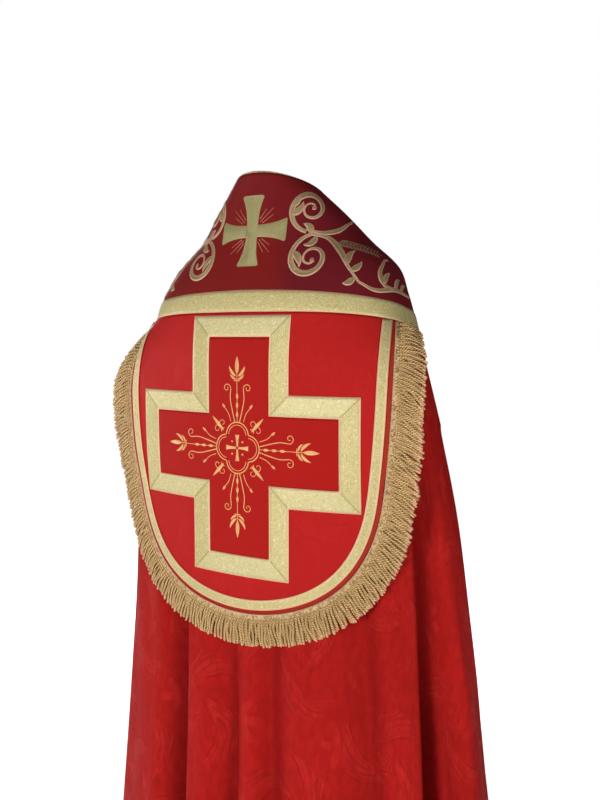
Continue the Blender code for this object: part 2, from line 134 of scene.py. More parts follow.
# the hood: half width and bend of its stiff cloth at each height
HOOD_ROWS = table(
    "height half bend",
    (-0.130, 0.260, 1.10),
    (-0.210, 0.260, 1.04),
    (-0.290, 0.258, 0.96),
    (-0.370, 0.252, 1.03),
    (-0.450, 0.242, 1.30),
    (-0.530, 0.231, 1.40),
    (-0.660, 0.220, 1.35),
)
HOOD_STRAIGHT_END = -0.395
HOOD_ROUND_DROP = 0.2365
HOOD_ROUNDNESS = 0.63
HOOD_OFF_BACK = 0.0075
HOOD_OFF_YOKE = 0.0026
HOOD_LEAVES_BODY_IN = 0.140
HOOD_SIDE_STEPS = 70
HOOD_ROUND_STEPS = 200

MANTLE_THICK = 0.0015
ORPHREY_THICK = 0.0028
HOOD_THICK = 0.0020
GALLOON_THICK = 0.0012
PANEL_THICK = 0.0008
HEADING_THICK = 0.0018
LAYER_GAP = 0.0003
HOOD_LAYER_GAP = 0.0007
SEAM_GAP = 0.0006
ON_HOOD = HOOD_THICK + HOOD_LAYER_GAP

GALLOON_WIDE = 0.037
HOOD_MARGIN = 0.007
HOOD_GALLOON_WIDE = 0.017
# the hood's galloon stands a little higher where it runs up to the corners
CORNER_LIFT = 0.0009
CORNER_START = -0.24
CORNER_SPREAD = 0.06
CROSS_HALF_BAR = 0.0934
CROSS_HALF_SPAN = 0.2125
CROSS_TOP = -0.137
CROSS_ARM_TOP = -0.264
CROSS_ARM_BOTTOM = -0.4475
CROSS_BOTTOM = -0.569
CROSS_BAND = 0.035
CROSS_GRID = 0.006
RIBBON_STEP = 0.31

FRINGE_STRANDS = 690
FRINGE_HEADER = 0.010
FRINGE_LONG = 0.042
FRINGE_SAG = 0.35
STRAND_TUCK = 0.0010
STRAND_RADIUS = 0.0022
YARN_TWIST = 0.0085

PIPING_RADIUS = 0.0016
CORD_TWIST = 0.0045
CORD_SUNK = 0.0003
MORSE_OFF = 0.0010
THREAD_RAISED = 0.0011
THREAD_SUNK = 0.0001


# ---- reading the tables
def smooth_read(x, y, at):
    """The value of y where x is at, read smoothly between the rows of a table."""
    if x[0] > x[-1]:
        x, y = x[::-1], y[::-1]
    at = np.clip(np.asarray(at, float), x[0], x[-1])
    slope = np.gradient(y, x)
    i = np.clip(np.searchsorted(x, at) - 1, 0, len(x) - 2)
    step = x[i + 1] - x[i]
    t = (at - x[i]) / step
    ends = (1 + 2 * t) * (1 - t) ** 2 * y[i] + t * t * (3 - 2 * t) * y[i + 1]
    tangents = t * (1 - t) ** 2 * step * slope[i] + t * t * (t - 1) * step * slope[i + 1]
    return ends + tangents


def neck_edge(turn):
    return smooth_read(NECK_EDGE.turn, NECK_EDGE.height, np.abs(turn))


def yoke_edge(turn):
    return smooth_read(YOKE_EDGE.turn, YOKE_EDGE.height, np.abs(turn))


def side_edge(height):
    return smooth_read(SIDE_EDGE.height, SIDE_EDGE.turn, height)


def section(column, height):
    return smooth_read(SECTIONS.height, getattr(SECTIONS, column), height)


def front_turn(x, height):
    """The turn at which the body's front lies this far from its middle."""
    share = x / section("wide", height)
    return 180 - np.degrees(np.arcsin(share ** (section("square", height) / 2)))


# ---- lines and grids of points
def together(*values):
    return np.broadcast_arrays(*(np.asarray(value, float) for value in values))


def unit(vectors):
    return vectors / np.linalg.norm(vectors, axis=-1, keepdims=True)


def pairs(x, y):
    return np.stack([x, y], 1)


def leftward(ahead):
    """The directions to the left of flat ones."""
    return pairs(-ahead[:, 1], ahead[:, 0])


def along_rows(points):
    """Distances along each row of a grid of points, from its first column."""
    steps = np.linalg.norm(np.diff(points, axis=1), axis=-1)
    return np.concatenate([np.zeros((len(points), 1)), np.cumsum(steps, 1)], 1)


def lengths(line):
    """Distances along a line of points, from its first."""
    return along_rows(line[None])[0]


def read_line(line, share):
    """A line of values, read at shares of its length in points."""
    return np.interp(share, np.linspace(0, 1, len(line)), line)


def outward(surface, across, up, step):
    """The outward direction of a surface. step is how far apart across it is felt."""
    rise = 0.003
    level = surface(across + step, up) - surface(across - step, up)
    return unit(np.cross(level, surface(across, up + rise) - surface(across, up - rise)))


# ---- the body's surface
def smooth_body(turn, height):
    """The outside of the body that the cope hangs on, before its folds."""
    turn, height = together(turn, height)
    wide, behind, front, mid, square = (section(column, height) for column in SECTIONS._fields[1:])
    power = 2 / square
    s = np.sin(np.radians(turn))
    c = np.cos(np.radians(turn))
    x = -wide * np.sign(s) * np.abs(s) ** power
    y = mid + np.where(c > 0, behind, front) * np.sign(c) * np.abs(c) ** power
    return np.stack([x, y, height], -1)


def smooth_out(turn, height):
    return outward(smooth_body, turn, height, 0.5)


def flute_depth(turn, height):
    """How far the folds press in at each place."""
    total = np.zeros(np.broadcast(turn, height).shape)
    for place, depth, toward, away, start, lean in zip(*FLUTES):
        line = place + lean * (height - HEM) / -HEM
        grown = np.clip((start - height) / (start - HEM), 0, 1) ** FLUTE_GROWTH
        off_line = (turn - line) * np.where(line < 0, -1, 1)
        near = np.clip(np.abs(off_line) / np.where(off_line < 0, toward, away), 0, 1)
        total = total + depth * grown * (0.5 + 0.5 * np.cos(near**FLUTE_SHARPNESS * np.pi))
    past_side = np.clip((np.abs(turn) - side_edge(height) + CALM_LEAD) / CALM_SPREAD, 0, 1)
    return total * (1 - (1 - FRONT_CALM) * past_side * past_side * (3 - 2 * past_side))


def draped(turn, height, lift=0.0):
    """The folded cloth's inner face, or that face moved out by lift."""
    out = smooth_out(turn, height)
    flat_out = unit(out * np.array([1.0, 1.0, 0.0]))
    points = smooth_body(turn, height) - flat_out * flute_depth(turn, height)[..., None]
    return points + out * np.asarray(lift)[..., None]


# ---- the hood's surface
# distances round the smooth body at these heights, a step for each degree of turn
ARC_TURNS = np.linspace(0, 130, 131)
ARC_HEIGHTS = np.linspace(-0.74, 0.106, 170)
ARCS = along_rows(smooth_body(ARC_TURNS, ARC_HEIGHTS[:, None]))


def turn_at(arc, height):
    """The turn at this distance round the body from the centre of the back."""
    arc, height = together(arc, height)
    row = (height - ARC_HEIGHTS[0]) / (ARC_HEIGHTS[1] - ARC_HEIGHTS[0])
    row = np.clip(row, 0, len(ARC_HEIGHTS) - 1.001)
    below = row.astype(int)
    share = (row - below)[..., None]
    far = ARCS[below] * (1 - share) + ARCS[below + 1] * share
    n = np.clip((far < np.abs(arc)[..., None]).sum(-1) - 1, 0, len(ARC_TURNS) - 2)
    near, beyond = (np.take_along_axis(far, n[..., None] + k, -1)[..., 0] for k in (0, 1))
    return (n + (np.abs(arc) - near) / (beyond - near)) * np.sign(arc)


def hood_face(arc, height):
    """The hood's inner face: on the body at the top, then a stiff, gently bent board."""
    arc, height = together(arc, height)
    turn = turn_at(arc, height)
    near = smooth_body(turn, height) + smooth_out(turn, height) * HOOD_OFF_YOKE
    bend = smooth_read(HOOD_ROWS.height, HOOD_ROWS.bend, height)
    back = smooth_body(0.0, height)[..., 1] + HOOD_OFF_BACK
    board = np.stack([-np.sin(arc * bend) / bend, back - (1 - np.cos(arc * bend)) / bend, height], -1)
    down = np.clip((yoke_edge(turn) - height) / HOOD_LEAVES_BODY_IN, 0, 1)
    return near + (board - near) * (1 - (1 - down) ** 2)[..., None]


def hood_at(arc, height, lift=0.0):
    arc, height = together(arc, height)
    return hood_face(arc, height) + outward(hood_face, arc, height, 0.003) * np.asarray(lift)[..., None]


def hood_half(height):
    return smooth_read(HOOD_ROWS.height, HOOD_ROWS.half, height)


def hood_top(arc):
    """The height of the yoke's lower edge, at this distance round from the centre of the back."""
    height = np.full(np.shape(arc), -0.14)
    for _ in range(4):
        height = yoke_edge(turn_at(arc, height))
    return height


def hood_low(swing):
    """The height of the hood's round lower edge. swing goes from -pi / 2 to pi / 2 along it."""
    return HOOD_STRAIGHT_END - HOOD_ROUND_DROP * np.cos(swing) ** HOOD_ROUNDNESS


def hood_outline(inset):
    """(arc, height) along the hood's free edge, from the wearer's left round to the right, moved in by
    inset, and the directions out of it."""
    top = float(hood_top(hood_half(-0.15))) - SEAM_GAP
    heights = np.linspace(top, HOOD_STRAIGHT_END, HOOD_SIDE_STEPS, endpoint=False)
    swing = np.radians(np.linspace(-90, 90, HOOD_ROUND_STEPS + 1))
    low = hood_low(swing)
    left = pairs(-hood_half(heights), heights)
    line = np.concatenate([left, pairs(np.sin(swing) * hood_half(low), low), left[::-1] * (-1, 1)])
    along = lengths(line)
    even = np.linspace(0, along[-1], len(along))
    line = pairs(*(np.interp(even, along, column) for column in line.T))
    inward = leftward(unit(np.gradient(line, axis=0)))
    line = line + inward * inset
    line[[0, -1], 1] = np.minimum(line[[0, -1], 1], top)
    return line, -inward


# ---- making pieces
def lay_grid(bm, columns, rows):
    """A flat grid of unit size: its vertices, and each one's share across and along it."""
    verts = bmesh.ops.create_grid(bm, x_segments=columns, y_segments=rows, size=0.5)["verts"]
    return verts, np.array([vert.co[:2] for vert in verts]) + 0.5


def put(verts, points):
    for vert, point in zip(verts, points):
        vert.co = point


def give_uv(bm, verts, places):
    """Each vertex's place on its own cloth, in metres, as its UV."""
    layer = bm.loops.layers.uv.get("UVMap") or bm.loops.layers.uv.new("UVMap")
    for vert, place in zip(verts, places):
        for loop in vert.link_loops:
            loop[layer].uv = place


def add_object(name, data):
    made = bpy.data.objects.new(name, data)
    bpy.context.scene.collection.objects.link(made)
    return made


def finish_piece(bm, name, look, merge=0.0):
    if merge:
        bmesh.ops.remove_doubles(bm, verts=bm.verts, dist=merge)
    mesh = bpy.data.meshes.new(name)
    bm.to_mesh(mesh)
    bm.free()
    mesh.shade_smooth()
    mesh.materials.append(look)
    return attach(add_object(name, mesh), "root")


def thicken(piece, thickness):
    shell = piece.modifiers.new("Cloth", "SOLIDIFY")
    shell.thickness = thickness
    shell.offset = 1
    shell.use_rim = True
    return piece


def cloth_from(name, columns, rows, shape, look, thickness, uv=None, painted_shade=None):
    """A sheet of cloth on a grid. shape takes the shares across and along, and gives the inner face. uv
    gives each point's place on the cut cloth, and the last one how far it is shut off from the light, as
    painted shade."""
    bm = bmesh.new()
    verts, share = lay_grid(bm, columns, rows)
    shares = share.T
    points = shape(*shares)
    put(verts, points)
    if uv is None:
        grid = points.reshape(rows + 1, columns + 1, 3)
        across = along_rows(grid)
        across = across - across[:, columns // 2][:, None]
        down = along_rows(grid.transpose(1, 0, 2)).T
        give_uv(bm, verts, pairs(across.ravel(), down.ravel()))
    else:
        give_uv(bm, verts, uv(*shares))
    piece = finish_piece(bm, name, look)
    if painted_shade is not None:
        layer = piece.data.attributes.new("painted_shade", "FLOAT", "POINT")
        layer.data.foreach_set("value", painted_shade(*shares).astype(np.float32))
    return thicken(piece, thickness)


def tube(bm, middles, radii, side, out, around):
    """A closed tube on a line of middles. side and out are the two directions that span its rings."""
    rings = len(middles) - 1
    verts, share = lay_grid(bm, around, rings)
    ring = np.rint(share[:, 1] * rings).astype(int)
    angle = 2 * np.pi * share[:, 0]
    spoke = side[ring] * np.cos(angle)[:, None] + out[ring] * np.sin(angle)[:, None]
    put(verts, middles[ring] + spoke * radii[ring][:, None])
    give_uv(bm, verts, pairs(share[:, 0], lengths(middles)[ring]))


# ---- materials
class Number:
    """A number that a material works out at each point, so that its patterns read as plain sums."""

    def __init__(self, look, socket):
        self.look = look
        self.socket = socket

    def __add__(self, other):
        return self.look.calc("ADD", self, other)

    def __sub__(self, other):
        return self.look.calc("SUBTRACT", self, other)

    def __rsub__(self, other):
        return self.look.calc("SUBTRACT", other, self)

    def __mul__(self, other):
        return self.look.calc("MULTIPLY", self, other)

    def __abs__(self):
        return self.look.calc("ABSOLUTE", self)

    def sine(self):
        return self.look.calc("SINE", self)

    def wave(self, pitch):
        """A sine wave along this number, from -1 to 1."""
        return (self * (2 * math.pi / pitch)).sine()

    def step(self, low, high, to_low=0.0, to_high=1.0):
        """A smooth change from to_low to to_high, as this number goes from low to high."""
        names = ("Value", "From Min", "From Max", "To Min", "To Max")
        inputs = dict(zip(names, (self, low, high, to_low, to_high)))
        return self.look.number("MapRange", inputs, interpolation_type="SMOOTHSTEP")


class Look:
    """A Principled material and the few nodes that its patterns are made with."""

    def __init__(self, name):
        self.material = bpy.data.materials.new(name)
        self.material.use_nodes = True
        self.tree = self.material.node_tree
        self.shader = self.tree.nodes["Principled BSDF"]

    def fill(self, node, inputs):
        """Sets a node's inputs, or links those whose value comes from another node."""
        for place, value in inputs.items():
            value = getattr(value, "socket", value)
            if isinstance(value, bpy.types.NodeSocket):
                self.tree.links.new(value, node.inputs[place])
            else:
                node.inputs[place].default_value = value

    def add(self, kind, inputs, **settings):
        node = self.tree.nodes.new("ShaderNode" + kind)
        for name, value in settings.items():
            setattr(node, name, value)
        self.fill(node, inputs)
        return node

    def number(self, kind, inputs, output=0, **settings):
        return Number(self, self.add(kind, inputs, **settings).outputs[output])

    def calc(self, operation, *sources):
        return self.number("Math", dict(enumerate(sources)), operation=operation)

    def parts(self, kind, source):
        """The three numbers of a vector or a colour."""
        return [Number(self, part) for part in self.add("Separate" + kind, {0: source}).outputs]

    def uv(self):
        """A point's place on its own cloth, as a vector and as its two numbers."""
        vector = self.add("UVMap", {}, uv_map="UVMap").outputs[0]
        return vector, *self.parts("XYZ", vector)[:2]

    def place(self):
        return self.add("TexCoord", {}).outputs["Object"]

    def measure(self, name):
        """A number that the mesh holds at each point."""
        return self.number("Attribute", {}, "Fac", attribute_name=name)

    def stretched(self, where, stretch):
        return self.add("Mapping", {"Vector": where, "Scale": stretch}).outputs[0] if stretch else where

    def noise(self, where, scale, detail=2.0, roughness=0.5, stretch=None):
        where = self.stretched(where, stretch)
        inputs = {"Vector": where, "Scale": scale, "Detail": detail, "Roughness": roughness}
        return self.number("TexNoise", inputs, "Fac")

    def cells(self, where, scale, stretch):
        """Three numbers that differ from cell to cell."""
        inputs = {"Vector": self.stretched(where, stretch), "Scale": scale}
        return self.parts("Color", self.add("TexVoronoi", inputs).outputs["Color"])

    def mix(self, share, low, high):
        """A colour between two others. Plain colours are given as three numbers."""
        low, high = ((*color, 1) if isinstance(color, tuple) else color for color in (low, high))
        return self.add("Mix", {0: share, 6: low, 7: high}, data_type="RGBA").outputs[2]

    def over(self, base, *layers):
        """A colour with others laid over it, each by its own share."""
        for share, color in layers:
            base = self.mix(share, base, color)
        return base

    def surface(self, **inputs):
        self.fill(self.shader, {name.replace("_", " "): value for name, value in inputs.items()})
        return self.material

    def finish(self, height, distance, strength, **inputs):
        """The material, with a relief and with the shader's other inputs."""
        relief = {"Height": height, "Distance": distance, "Strength": strength}
        return self.surface(Normal=self.add("Bump", relief).outputs[0], **inputs)


def woven_height(u, v, pitch):
    """A fine satin weave, from 0 to 1: floats that run down the cloth, offset from column to column."""
    return u.wave(pitch) * 0.3 + (u * 0.4 + v * 0.35).wave(pitch) * 0.2 + 0.5


def twisted(u, v, twist, plies):
    """The plies of a twisted yarn, from 0 in its grooves to 1. u goes from 0 to 1 round it."""
    return (v * (1 / twist) + u).wave(1 / plies) * 0.5 + 0.5


DAMASK_WIDE = 0.215
DAMASK_TALL = 0.270
WHORL_INNER = 0.028
WHORL_OUTER = 0.104
WHORL_ARMS = 3.0
WHORL_TIGHT = 3.4
LEAF_TEETH = 12.0
ROSE_RADIUS = 0.0205
ROSE_RINGS = 0.0085


def damask_figure(look, vector, u, v):
    """The damask's figure, from 0 to 1, and its drawn outlines: leafy whorls in half-drop rows."""
    wander = look.noise(vector, 17.0, 3.0) * 0.026 - 0.013
    across = (u + wander) * (1 / DAMASK_WIDE)
    odd = look.calc("FLOORED_MODULO", look.calc("FLOOR", across), 2.0)
    down = (v - wander) * (1 / DAMASK_TALL) + odd * 0.5
    x = (look.calc("FRACT", across) - 0.5) * DAMASK_WIDE
    y = (look.calc("FRACT", down) - 0.5) * DAMASK_TALL
    far = look.calc("SQRT", x * x + y * y)
    angle = look.calc("ARCTAN2", y, x) * (odd * 2.0 - 1.0)
    # the whorl: leafy arms that wind out from the rose, with toothed outer edges
    teeth = (angle * LEAF_TEETH + far * 170.0).sine()
    wound = look.calc("LOGARITHM", far, math.e) * WHORL_TIGHT + angle * WHORL_ARMS
    arm = teeth * 0.30 + wound.sine()
    in_whorl = far.step(WHORL_INNER - 0.001, WHORL_INNER + 0.001)
    in_whorl = in_whorl * far.step(WHORL_OUTER - 0.002, WHORL_OUTER + 0.002, 1.0, 0.0)
    leaf = in_whorl * arm.step(0.08, 0.22)
    leaf_edge = in_whorl * abs(arm - 0.12).step(0.10, 0.26, 1.0, 0.0)
    vein = in_whorl * abs(arm - 0.86).step(0.04, 0.12, 1.0, 0.0)
    # the rose at its heart
    petals = look.calc("COSINE", angle * 5.0)
    rings = (far * (2 * math.pi / ROSE_RINGS) + petals).sine()
    rose = (petals * 0.004 + ROSE_RADIUS - far).step(0.0, 0.002) * rings.step(-0.2, 0.2)
    # sprigs in the corners between the whorls
    corner_x = DAMASK_WIDE * 0.5 - abs(x)
    corner_y = DAMASK_TALL * 0.5 - abs(y)
    corner = look.calc("SQRT", corner_x * corner_x + corner_y * corner_y)
    lobes = look.calc("COSINE", look.calc("ARCTAN2", corner_y, corner_x) * 6.0)
    sprig = (lobes * 0.013 + 0.030).step(corner, corner + 0.003)
    drawn = look.calc("MAXIMUM", look.calc("MAXIMUM", leaf, rose), sprig)
    return drawn, look.calc("MAXIMUM", leaf_edge, vein)


def damask(name, ground, figure, shade, contrast, gloss, deep, depth):
    """A silk damask: a satin ground with a figure in the same red, outlined darker. deep is its painted
    shade: a darker tone, laid on by depth where the mesh marks the cloth as shut off from the light."""
    look = Look(name)
    vector, u, v = look.uv()
    worn = look.noise(vector, 24.0, 3.0).step(0.36, 0.62, 0.25, 1.0) * contrast
    drawn, lines = (part * worn for part in damask_figure(look, vector, u, v))
    crinkle = look.noise(vector, 75.0, 4.0, 0.62, (1.0, 0.55, 1.0)).step(0.36, 0.64)
    base = look.over(
        look.mix(drawn, ground, figure),
        (crinkle * (0.55 * contrast), shade),
        (lines * 0.75, shade),
        (look.noise(look.place(), 3.2, 3.0).step(0.35, 0.7) * 0.25, shade),
        (look.noise(vector, 900.0, 2.0, stretch=(1.0, 0.25, 1.0)) * 0.22, shade),
        # painted shade: the colour is darkened where the mesh marks the cloth as shut off from the light
        (look.measure("painted_shade") * depth, deep),
    )
    return look.finish(
        woven_height(u, v, 0.0011) + drawn * 0.9 - lines * 0.9,
        0.00026,
        0.7,
        Base_Color=base,
        Roughness=gloss - drawn * 0.14,
        Sheen_Weight=0.03,
        Sheen_Roughness=0.4,
        Sheen_Tint=(1.0, 0.03, 0.02, 1),
        Specular_IOR_Level=0.06,
        Specular_Tint=(1.0, 0.16, 0.12, 1),
    )


def dark_velvet(name):
    """The orphrey's close, dark red satin-faced pile, with painted light: brighter, warmer red towards
    the wearer's left.
    """
    look = Look(name)
    vector, u, v = look.uv()
    # painted light: brighter, warmer red towards the wearer's left, darker wine red towards the right,
    # as the light falls
    side = look.noise(look.place(), 5.0, 3.0) - look.parts("XYZ", look.place())[0] * 2.2
    fine = look.noise(vector, 1400.0, 2.0)
    base = look.mix(side.step(0.42, 0.72), (0.205, 0.0125, 0.0105), (0.138, 0.0110, 0.0165))
    return look.finish(
        fine + woven_height(u, v, 0.0013),
        0.0002,
        0.5,
        Base_Color=look.mix(fine * 0.5, base, (0.110, 0.0075, 0.009)),
        Roughness=fine * 0.2 + 0.48,
        Sheen_Weight=0.06,
        Sheen_Roughness=0.35,
        Sheen_Tint=(1.0, 0.15, 0.16, 1),
        Specular_IOR_Level=0.12,
        Specular_Tint=(1.0, 0.3, 0.3, 1),
    )


def plain_satin(name):
    """The plain red of the cross on the hood."""
    look = Look(name)
    vector, u, v = look.uv()
    fine = look.noise(vector, 1100.0, 2.0, stretch=(1.0, 0.3, 1.0))
    base = look.mix(look.noise(look.place(), 6.0, 3.0), (0.405, 0.0120, 0.0095), (0.350, 0.0100, 0.008))
    return look.finish(
        fine + woven_height(u, v, 0.0010),
        0.0002,
        0.6,
        Base_Color=look.mix(fine * 0.3, base, (0.27, 0.008, 0.008)),
        Roughness=fine * 0.15 + 0.5,
        Sheen_Weight=0.05,
        Sheen_Roughness=0.4,
        Sheen_Tint=(1.0, 0.06, 0.05, 1),
        Specular_IOR_Level=0.09,
        Specular_Tint=(1.0, 0.25, 0.2, 1),
    )


def galloon_weave(name, wide, selvedge):
    """Woven metal-thread ribbon: an olive-gold ground with painted glints, between two plain, pinker
    edges. Where the mesh holds them, lit marks the lengths that catch the light, painted lighter, and
    mitre the seams of a corner."""
    look = Look(name)
    vector, u, v = look.uv()
    ground = (wide / 2 - abs(u)).step(selvedge * 0.75, selvedge * 1.1)
    bright, dull, rise = look.cells(vector, 430.0, (1.2, 0.8, 1.0))
    fine = look.noise(vector, 520.0, 3.0, 0.7).step(0.34, 0.66)
    gold = look.over(
        look.mix(fine, (0.40, 0.318, 0.116), (0.690, 0.575, 0.285)),
        (look.noise(vector, 120.0, 4.0, 0.7).step(0.38, 0.62) * 0.48, (0.48, 0.430, 0.165)),
        # painted glints: random cells are lighter
        (bright.step(0.84, 0.95, 0.0, 0.36), (0.80, 0.76, 0.48)),
        (dull.step(0.18, 0.10, 0.0, 0.42), (0.33, 0.27, 0.09)),
        # painted highlight: the lengths that catch the light are lighter
        (look.measure("lit") * 0.17, (0.80, 0.75, 0.48)),
        (look.measure("mitre").step(0.45, 1.0, 0.0, 0.68), (0.27, 0.205, 0.070)),
    )
    edge = look.mix(look.noise(vector, 700.0), (0.67, 0.395, 0.215), (0.79, 0.50, 0.305))
    return look.finish(
        v.wave(0.0014) * 0.2 + rise * ground - ground,
        0.00028,
        0.8,
        Base_Color=look.mix(ground, edge, gold),
        Roughness=fine * 0.25 + 0.40,
        Metallic=0.25,
        Specular_IOR_Level=0.45,
    )


def gold_thread(name, pale, deep, sheen, rim, rim_wide, pitch):
    """Satin-stitched gold: threads laid side by side across each line, with a rim in its own tone.
    Its UV holds the distance in from the line's edge, and the distance along it."""
    look = Look(name)
    vector, u, v = look.uv()
    lie = (u * 0.35 + v).wave(pitch) * 0.5 + 0.5
    uneven = look.noise(vector, 260.0, 3.0, 0.6)
    base = look.over(
        # painted shade: darker in the grooves between the laid threads, lighter on them
        look.mix(lie * 0.7 + 0.1, deep, pale),
        (uneven.step(0.45, 0.75, 0.0, 0.5), deep),
        (look.noise(vector, 420.0, 2.0, 0.6, (1.0, 0.07, 1.0)).step(0.44, 0.66, 0.0, 0.55), deep),
        # painted sheen: random patches of the thread's sheen tone
        (look.noise(vector, 95.0, 3.0, 0.6).step(0.40, 0.62, 0.0, 0.55), sheen),
        (u.step(rim_wide * 0.7, rim_wide * 1.2, 0.8, 0.0), rim),
    )
    return look.finish(
        lie,
        0.00025,
        0.8,
        Base_Color=base,
        Roughness=uneven * 0.25 + 0.33,
        Metallic=0.3,
        Specular_IOR_Level=0.5,
        Anisotropic=0.4,
    )


def fringe_cord(name):
    """A strand of twisted gold yarn. Its UV runs once round it, and along the strand."""
    look = Look(name)
    _, u, v = look.uv()
    ply = twisted(u, v, YARN_TWIST, 2)
    tone = look.noise(look.place(), 240.0, 2.0)
    base = look.over(
        # painted shade: darker in the grooves of the twist, lighter on the plies
        look.mix(ply.step(0.15, 0.85), (0.285, 0.150, 0.052), (0.76, 0.495, 0.225)),
        (tone.step(0.42, 0.70, 0.0, 0.6), (0.44, 0.31, 0.105)),
        (look.noise(look.place(), 90.0, 2.0).step(0.40, 0.62, 0.0, 0.35), (0.34, 0.205, 0.070)),
        (v.step(FRINGE_LONG * 0.93, FRINGE_LONG * 1.03) * 0.45, (0.80, 0.46, 0.27)),
    )
    roughness = tone * 0.25 + 0.38
    return look.finish(
        ply, 0.0006, 1.0, Base_Color=base, Roughness=roughness, Metallic=0.15, Specular_IOR_Level=0.45
    )


def fringe_braid(name):
    """The fringe's woven heading: close cross ribs, speckled, with a pinker inner edge."""
    look = Look(name)
    vector, u, v = look.uv()
    glint, spark, rise = look.cells(vector, 400.0, (0.7, 1.0, 1.0))
    base = look.mix(glint.step(0.2, 0.8), (0.30, 0.185, 0.065), (0.66, 0.48, 0.21))
    base = look.mix(spark.step(0.74, 0.80, 0.0, 0.55), base, (0.72, 0.40, 0.24))
    dots = look.noise(vector, 620.0).step(0.38, 0.56)
    edge_tone = look.mix(dots, (0.42, 0.17, 0.09), (0.76, 0.46, 0.32))
    inner = -FRINGE_HEADER * 0.5
    return look.finish(
        v.wave(0.0022) * 0.5 + rise,
        0.0006,
        1.0,
        Base_Color=look.mix(u.step(inner + 0.0012, inner + 0.0028), edge_tone, base),
        Roughness=spark * 0.3 + 0.35,
        Metallic=0.15,
        Specular_IOR_Level=0.45,
    )


def cord_gold(name):
    """A cord of three gold plies. Its UV runs once round it, and along it."""
    look = Look(name)
    vector, u, v = look.uv()
    ply = twisted(u, v, CORD_TWIST, 3)
    # painted shade: darker in the grooves between the plies, lighter on them
    base = look.mix(ply, (0.25, 0.15, 0.06), (0.70, 0.54, 0.28))
    roughness = look.noise(vector, 500.0)
    return look.finish(
        ply, 0.0005, 0.9, Base_Color=base, Roughness=roughness, Metallic=0.4, Specular_IOR_Level=0.5
    )


mantle_red = damask(
    "Mantle damask",
    ground=(0.425, 0.0130, 0.0110),
    figure=(0.555, 0.024, 0.019),
    shade=(0.210, 0.0062, 0.006),
    contrast=0.62,
    gloss=0.50,
    # the painted shade laid in the folds' valleys, and its strength
    deep=(0.055, 0.0022, 0.002),
    depth=0.42,
)
hood_red = damask(
    "Hood damask",
    ground=(0.455, 0.0165, 0.0155),
    figure=(0.515, 0.022, 0.020),
    shade=(0.33, 0.0110, 0.0105),
    contrast=0.38,
    gloss=0.54,
    # the painted shade laid on the rim by the fringe, and its strength
    deep=(0.29, 0.031, 0.014),
    depth=0.85,
)
panel_red = plain_satin("Cross satin")
orphrey_red = dark_velvet("Orphrey satin")
wide_galloon = galloon_weave("Wide galloon", GALLOON_WIDE, 0.0026)
cross_galloon_gold = galloon_weave("Cross galloon", CROSS_BAND, 0.0028)
narrow_galloon = galloon_weave("Narrow galloon", HOOD_GALLOON_WIDE, 0.0031)
# each thread's pale, deep, sheen and rim tones, how wide its rim is, and the pitch of its stitches
THREADS = {
    "Scroll thread": (
        (0.55, 0.375, 0.195), (0.235, 0.150, 0.064), (0.33, 0.285, 0.120), (0.60, 0.365, 0.230),
        0.0025, 0.0009,
    ),
    "Cross thread": (
        (0.56, 0.455, 0.21), (0.24, 0.195, 0.078), (0.33, 0.355, 0.125), (0.41, 0.31, 0.14),
        0.0012, 0.0009,
    ),
    "Ray thread": (
        (0.60, 0.27, 0.155), (0.40, 0.13, 0.080), (0.52, 0.22, 0.120), (0.55, 0.22, 0.130),
        0.0004, 0.0007,
    ),
    "Wheat thread": (
        (0.46, 0.340, 0.150), (0.165, 0.095, 0.045), (0.290, 0.230, 0.095), (0.215, 0.120, 0.060),
        0.0006, 0.0007,
    ),
    "Fine gold thread": (
        (0.95, 0.58, 0.25), (0.70, 0.34, 0.11), (0.88, 0.50, 0.20), (0.92, 0.54, 0.22),
        0.0004, 0.0007,
    ),
}
scroll_gold, cross_gold, ray_gold, wheat_gold, fine_gold = (
    gold_thread(name, *tones) for name, tones in THREADS.items()
)
strand_gold = fringe_cord("Fringe yarn")
braid_gold = fringe_braid("Fringe heading")
piping_gold = cord_gold("Edge cord")


# ---- the mantle
# its top and front edges are tucked into the orphrey's thickness
TUCK_UP = 0.0012
TUCK_ROUND = 0.25
TUCK_LIFT = 0.0006
TUCK_SHARE = 0.01
# the fold depth at which the painted shade in the valleys is full
FULL_SHADE_DEPTH = 0.055
# the flat cut: a fan, so that the figure turns with the cloth towards the fronts
FAN_INNER = 0.66
FAN_LONG = 1.24
FAN_ANGLE = 1.55


def ripple(turn, height):
    """Small soft unevenness between the flutes, out and in, none at the seams."""
    down = np.clip((-0.30 - height) / 0.5, 0, 1)
    off_seam = np.clip((side_edge(height) - np.abs(turn)) / 9, 0, 1)
    slow = np.sin(np.radians(turn * 11 + 70 * np.sin(height * 3.1)))
    quick = np.sin(np.radians(turn * 23 - 40) + height * 5.0 + 1.3 * np.sin(height * 9.0))
    return down * off_seam * (0.0030 * slow + 0.0016 * quick)


def mantle_place(across, up):
    """The turn and the height of each point of the mantle's grid."""
    share = 2 * across - 1
    top = yoke_edge(share * YOKE_TURN) + TUCK_UP
    hem = HEM + HEM_RISE_AT_FRONT * share * share
    edge_hem = HEM + HEM_RISE_AT_FRONT
    turn = share * (side_edge(edge_hem + (CHEST - edge_hem) * up) + TUCK_ROUND)
    return turn, hem + (top - hem) * up


def mantle_shape(across, up):
    turn, height = mantle_place(across, up)
    edge = np.maximum(np.abs(2 * across - 1), up)
    tucked = np.clip((edge - 1 + TUCK_SHARE) / TUCK_SHARE, 0, 1)
    return draped(turn, height, ripple(turn, height) + TUCK_LIFT * tucked)


# painted shade: how deep each point lies in a fold, which darkens the damask's colour in the valleys
def mantle_painted_shade(across, up):
    return np.clip(flute_depth(*mantle_place(across, up)) / FULL_SHADE_DEPTH, 0, 1)


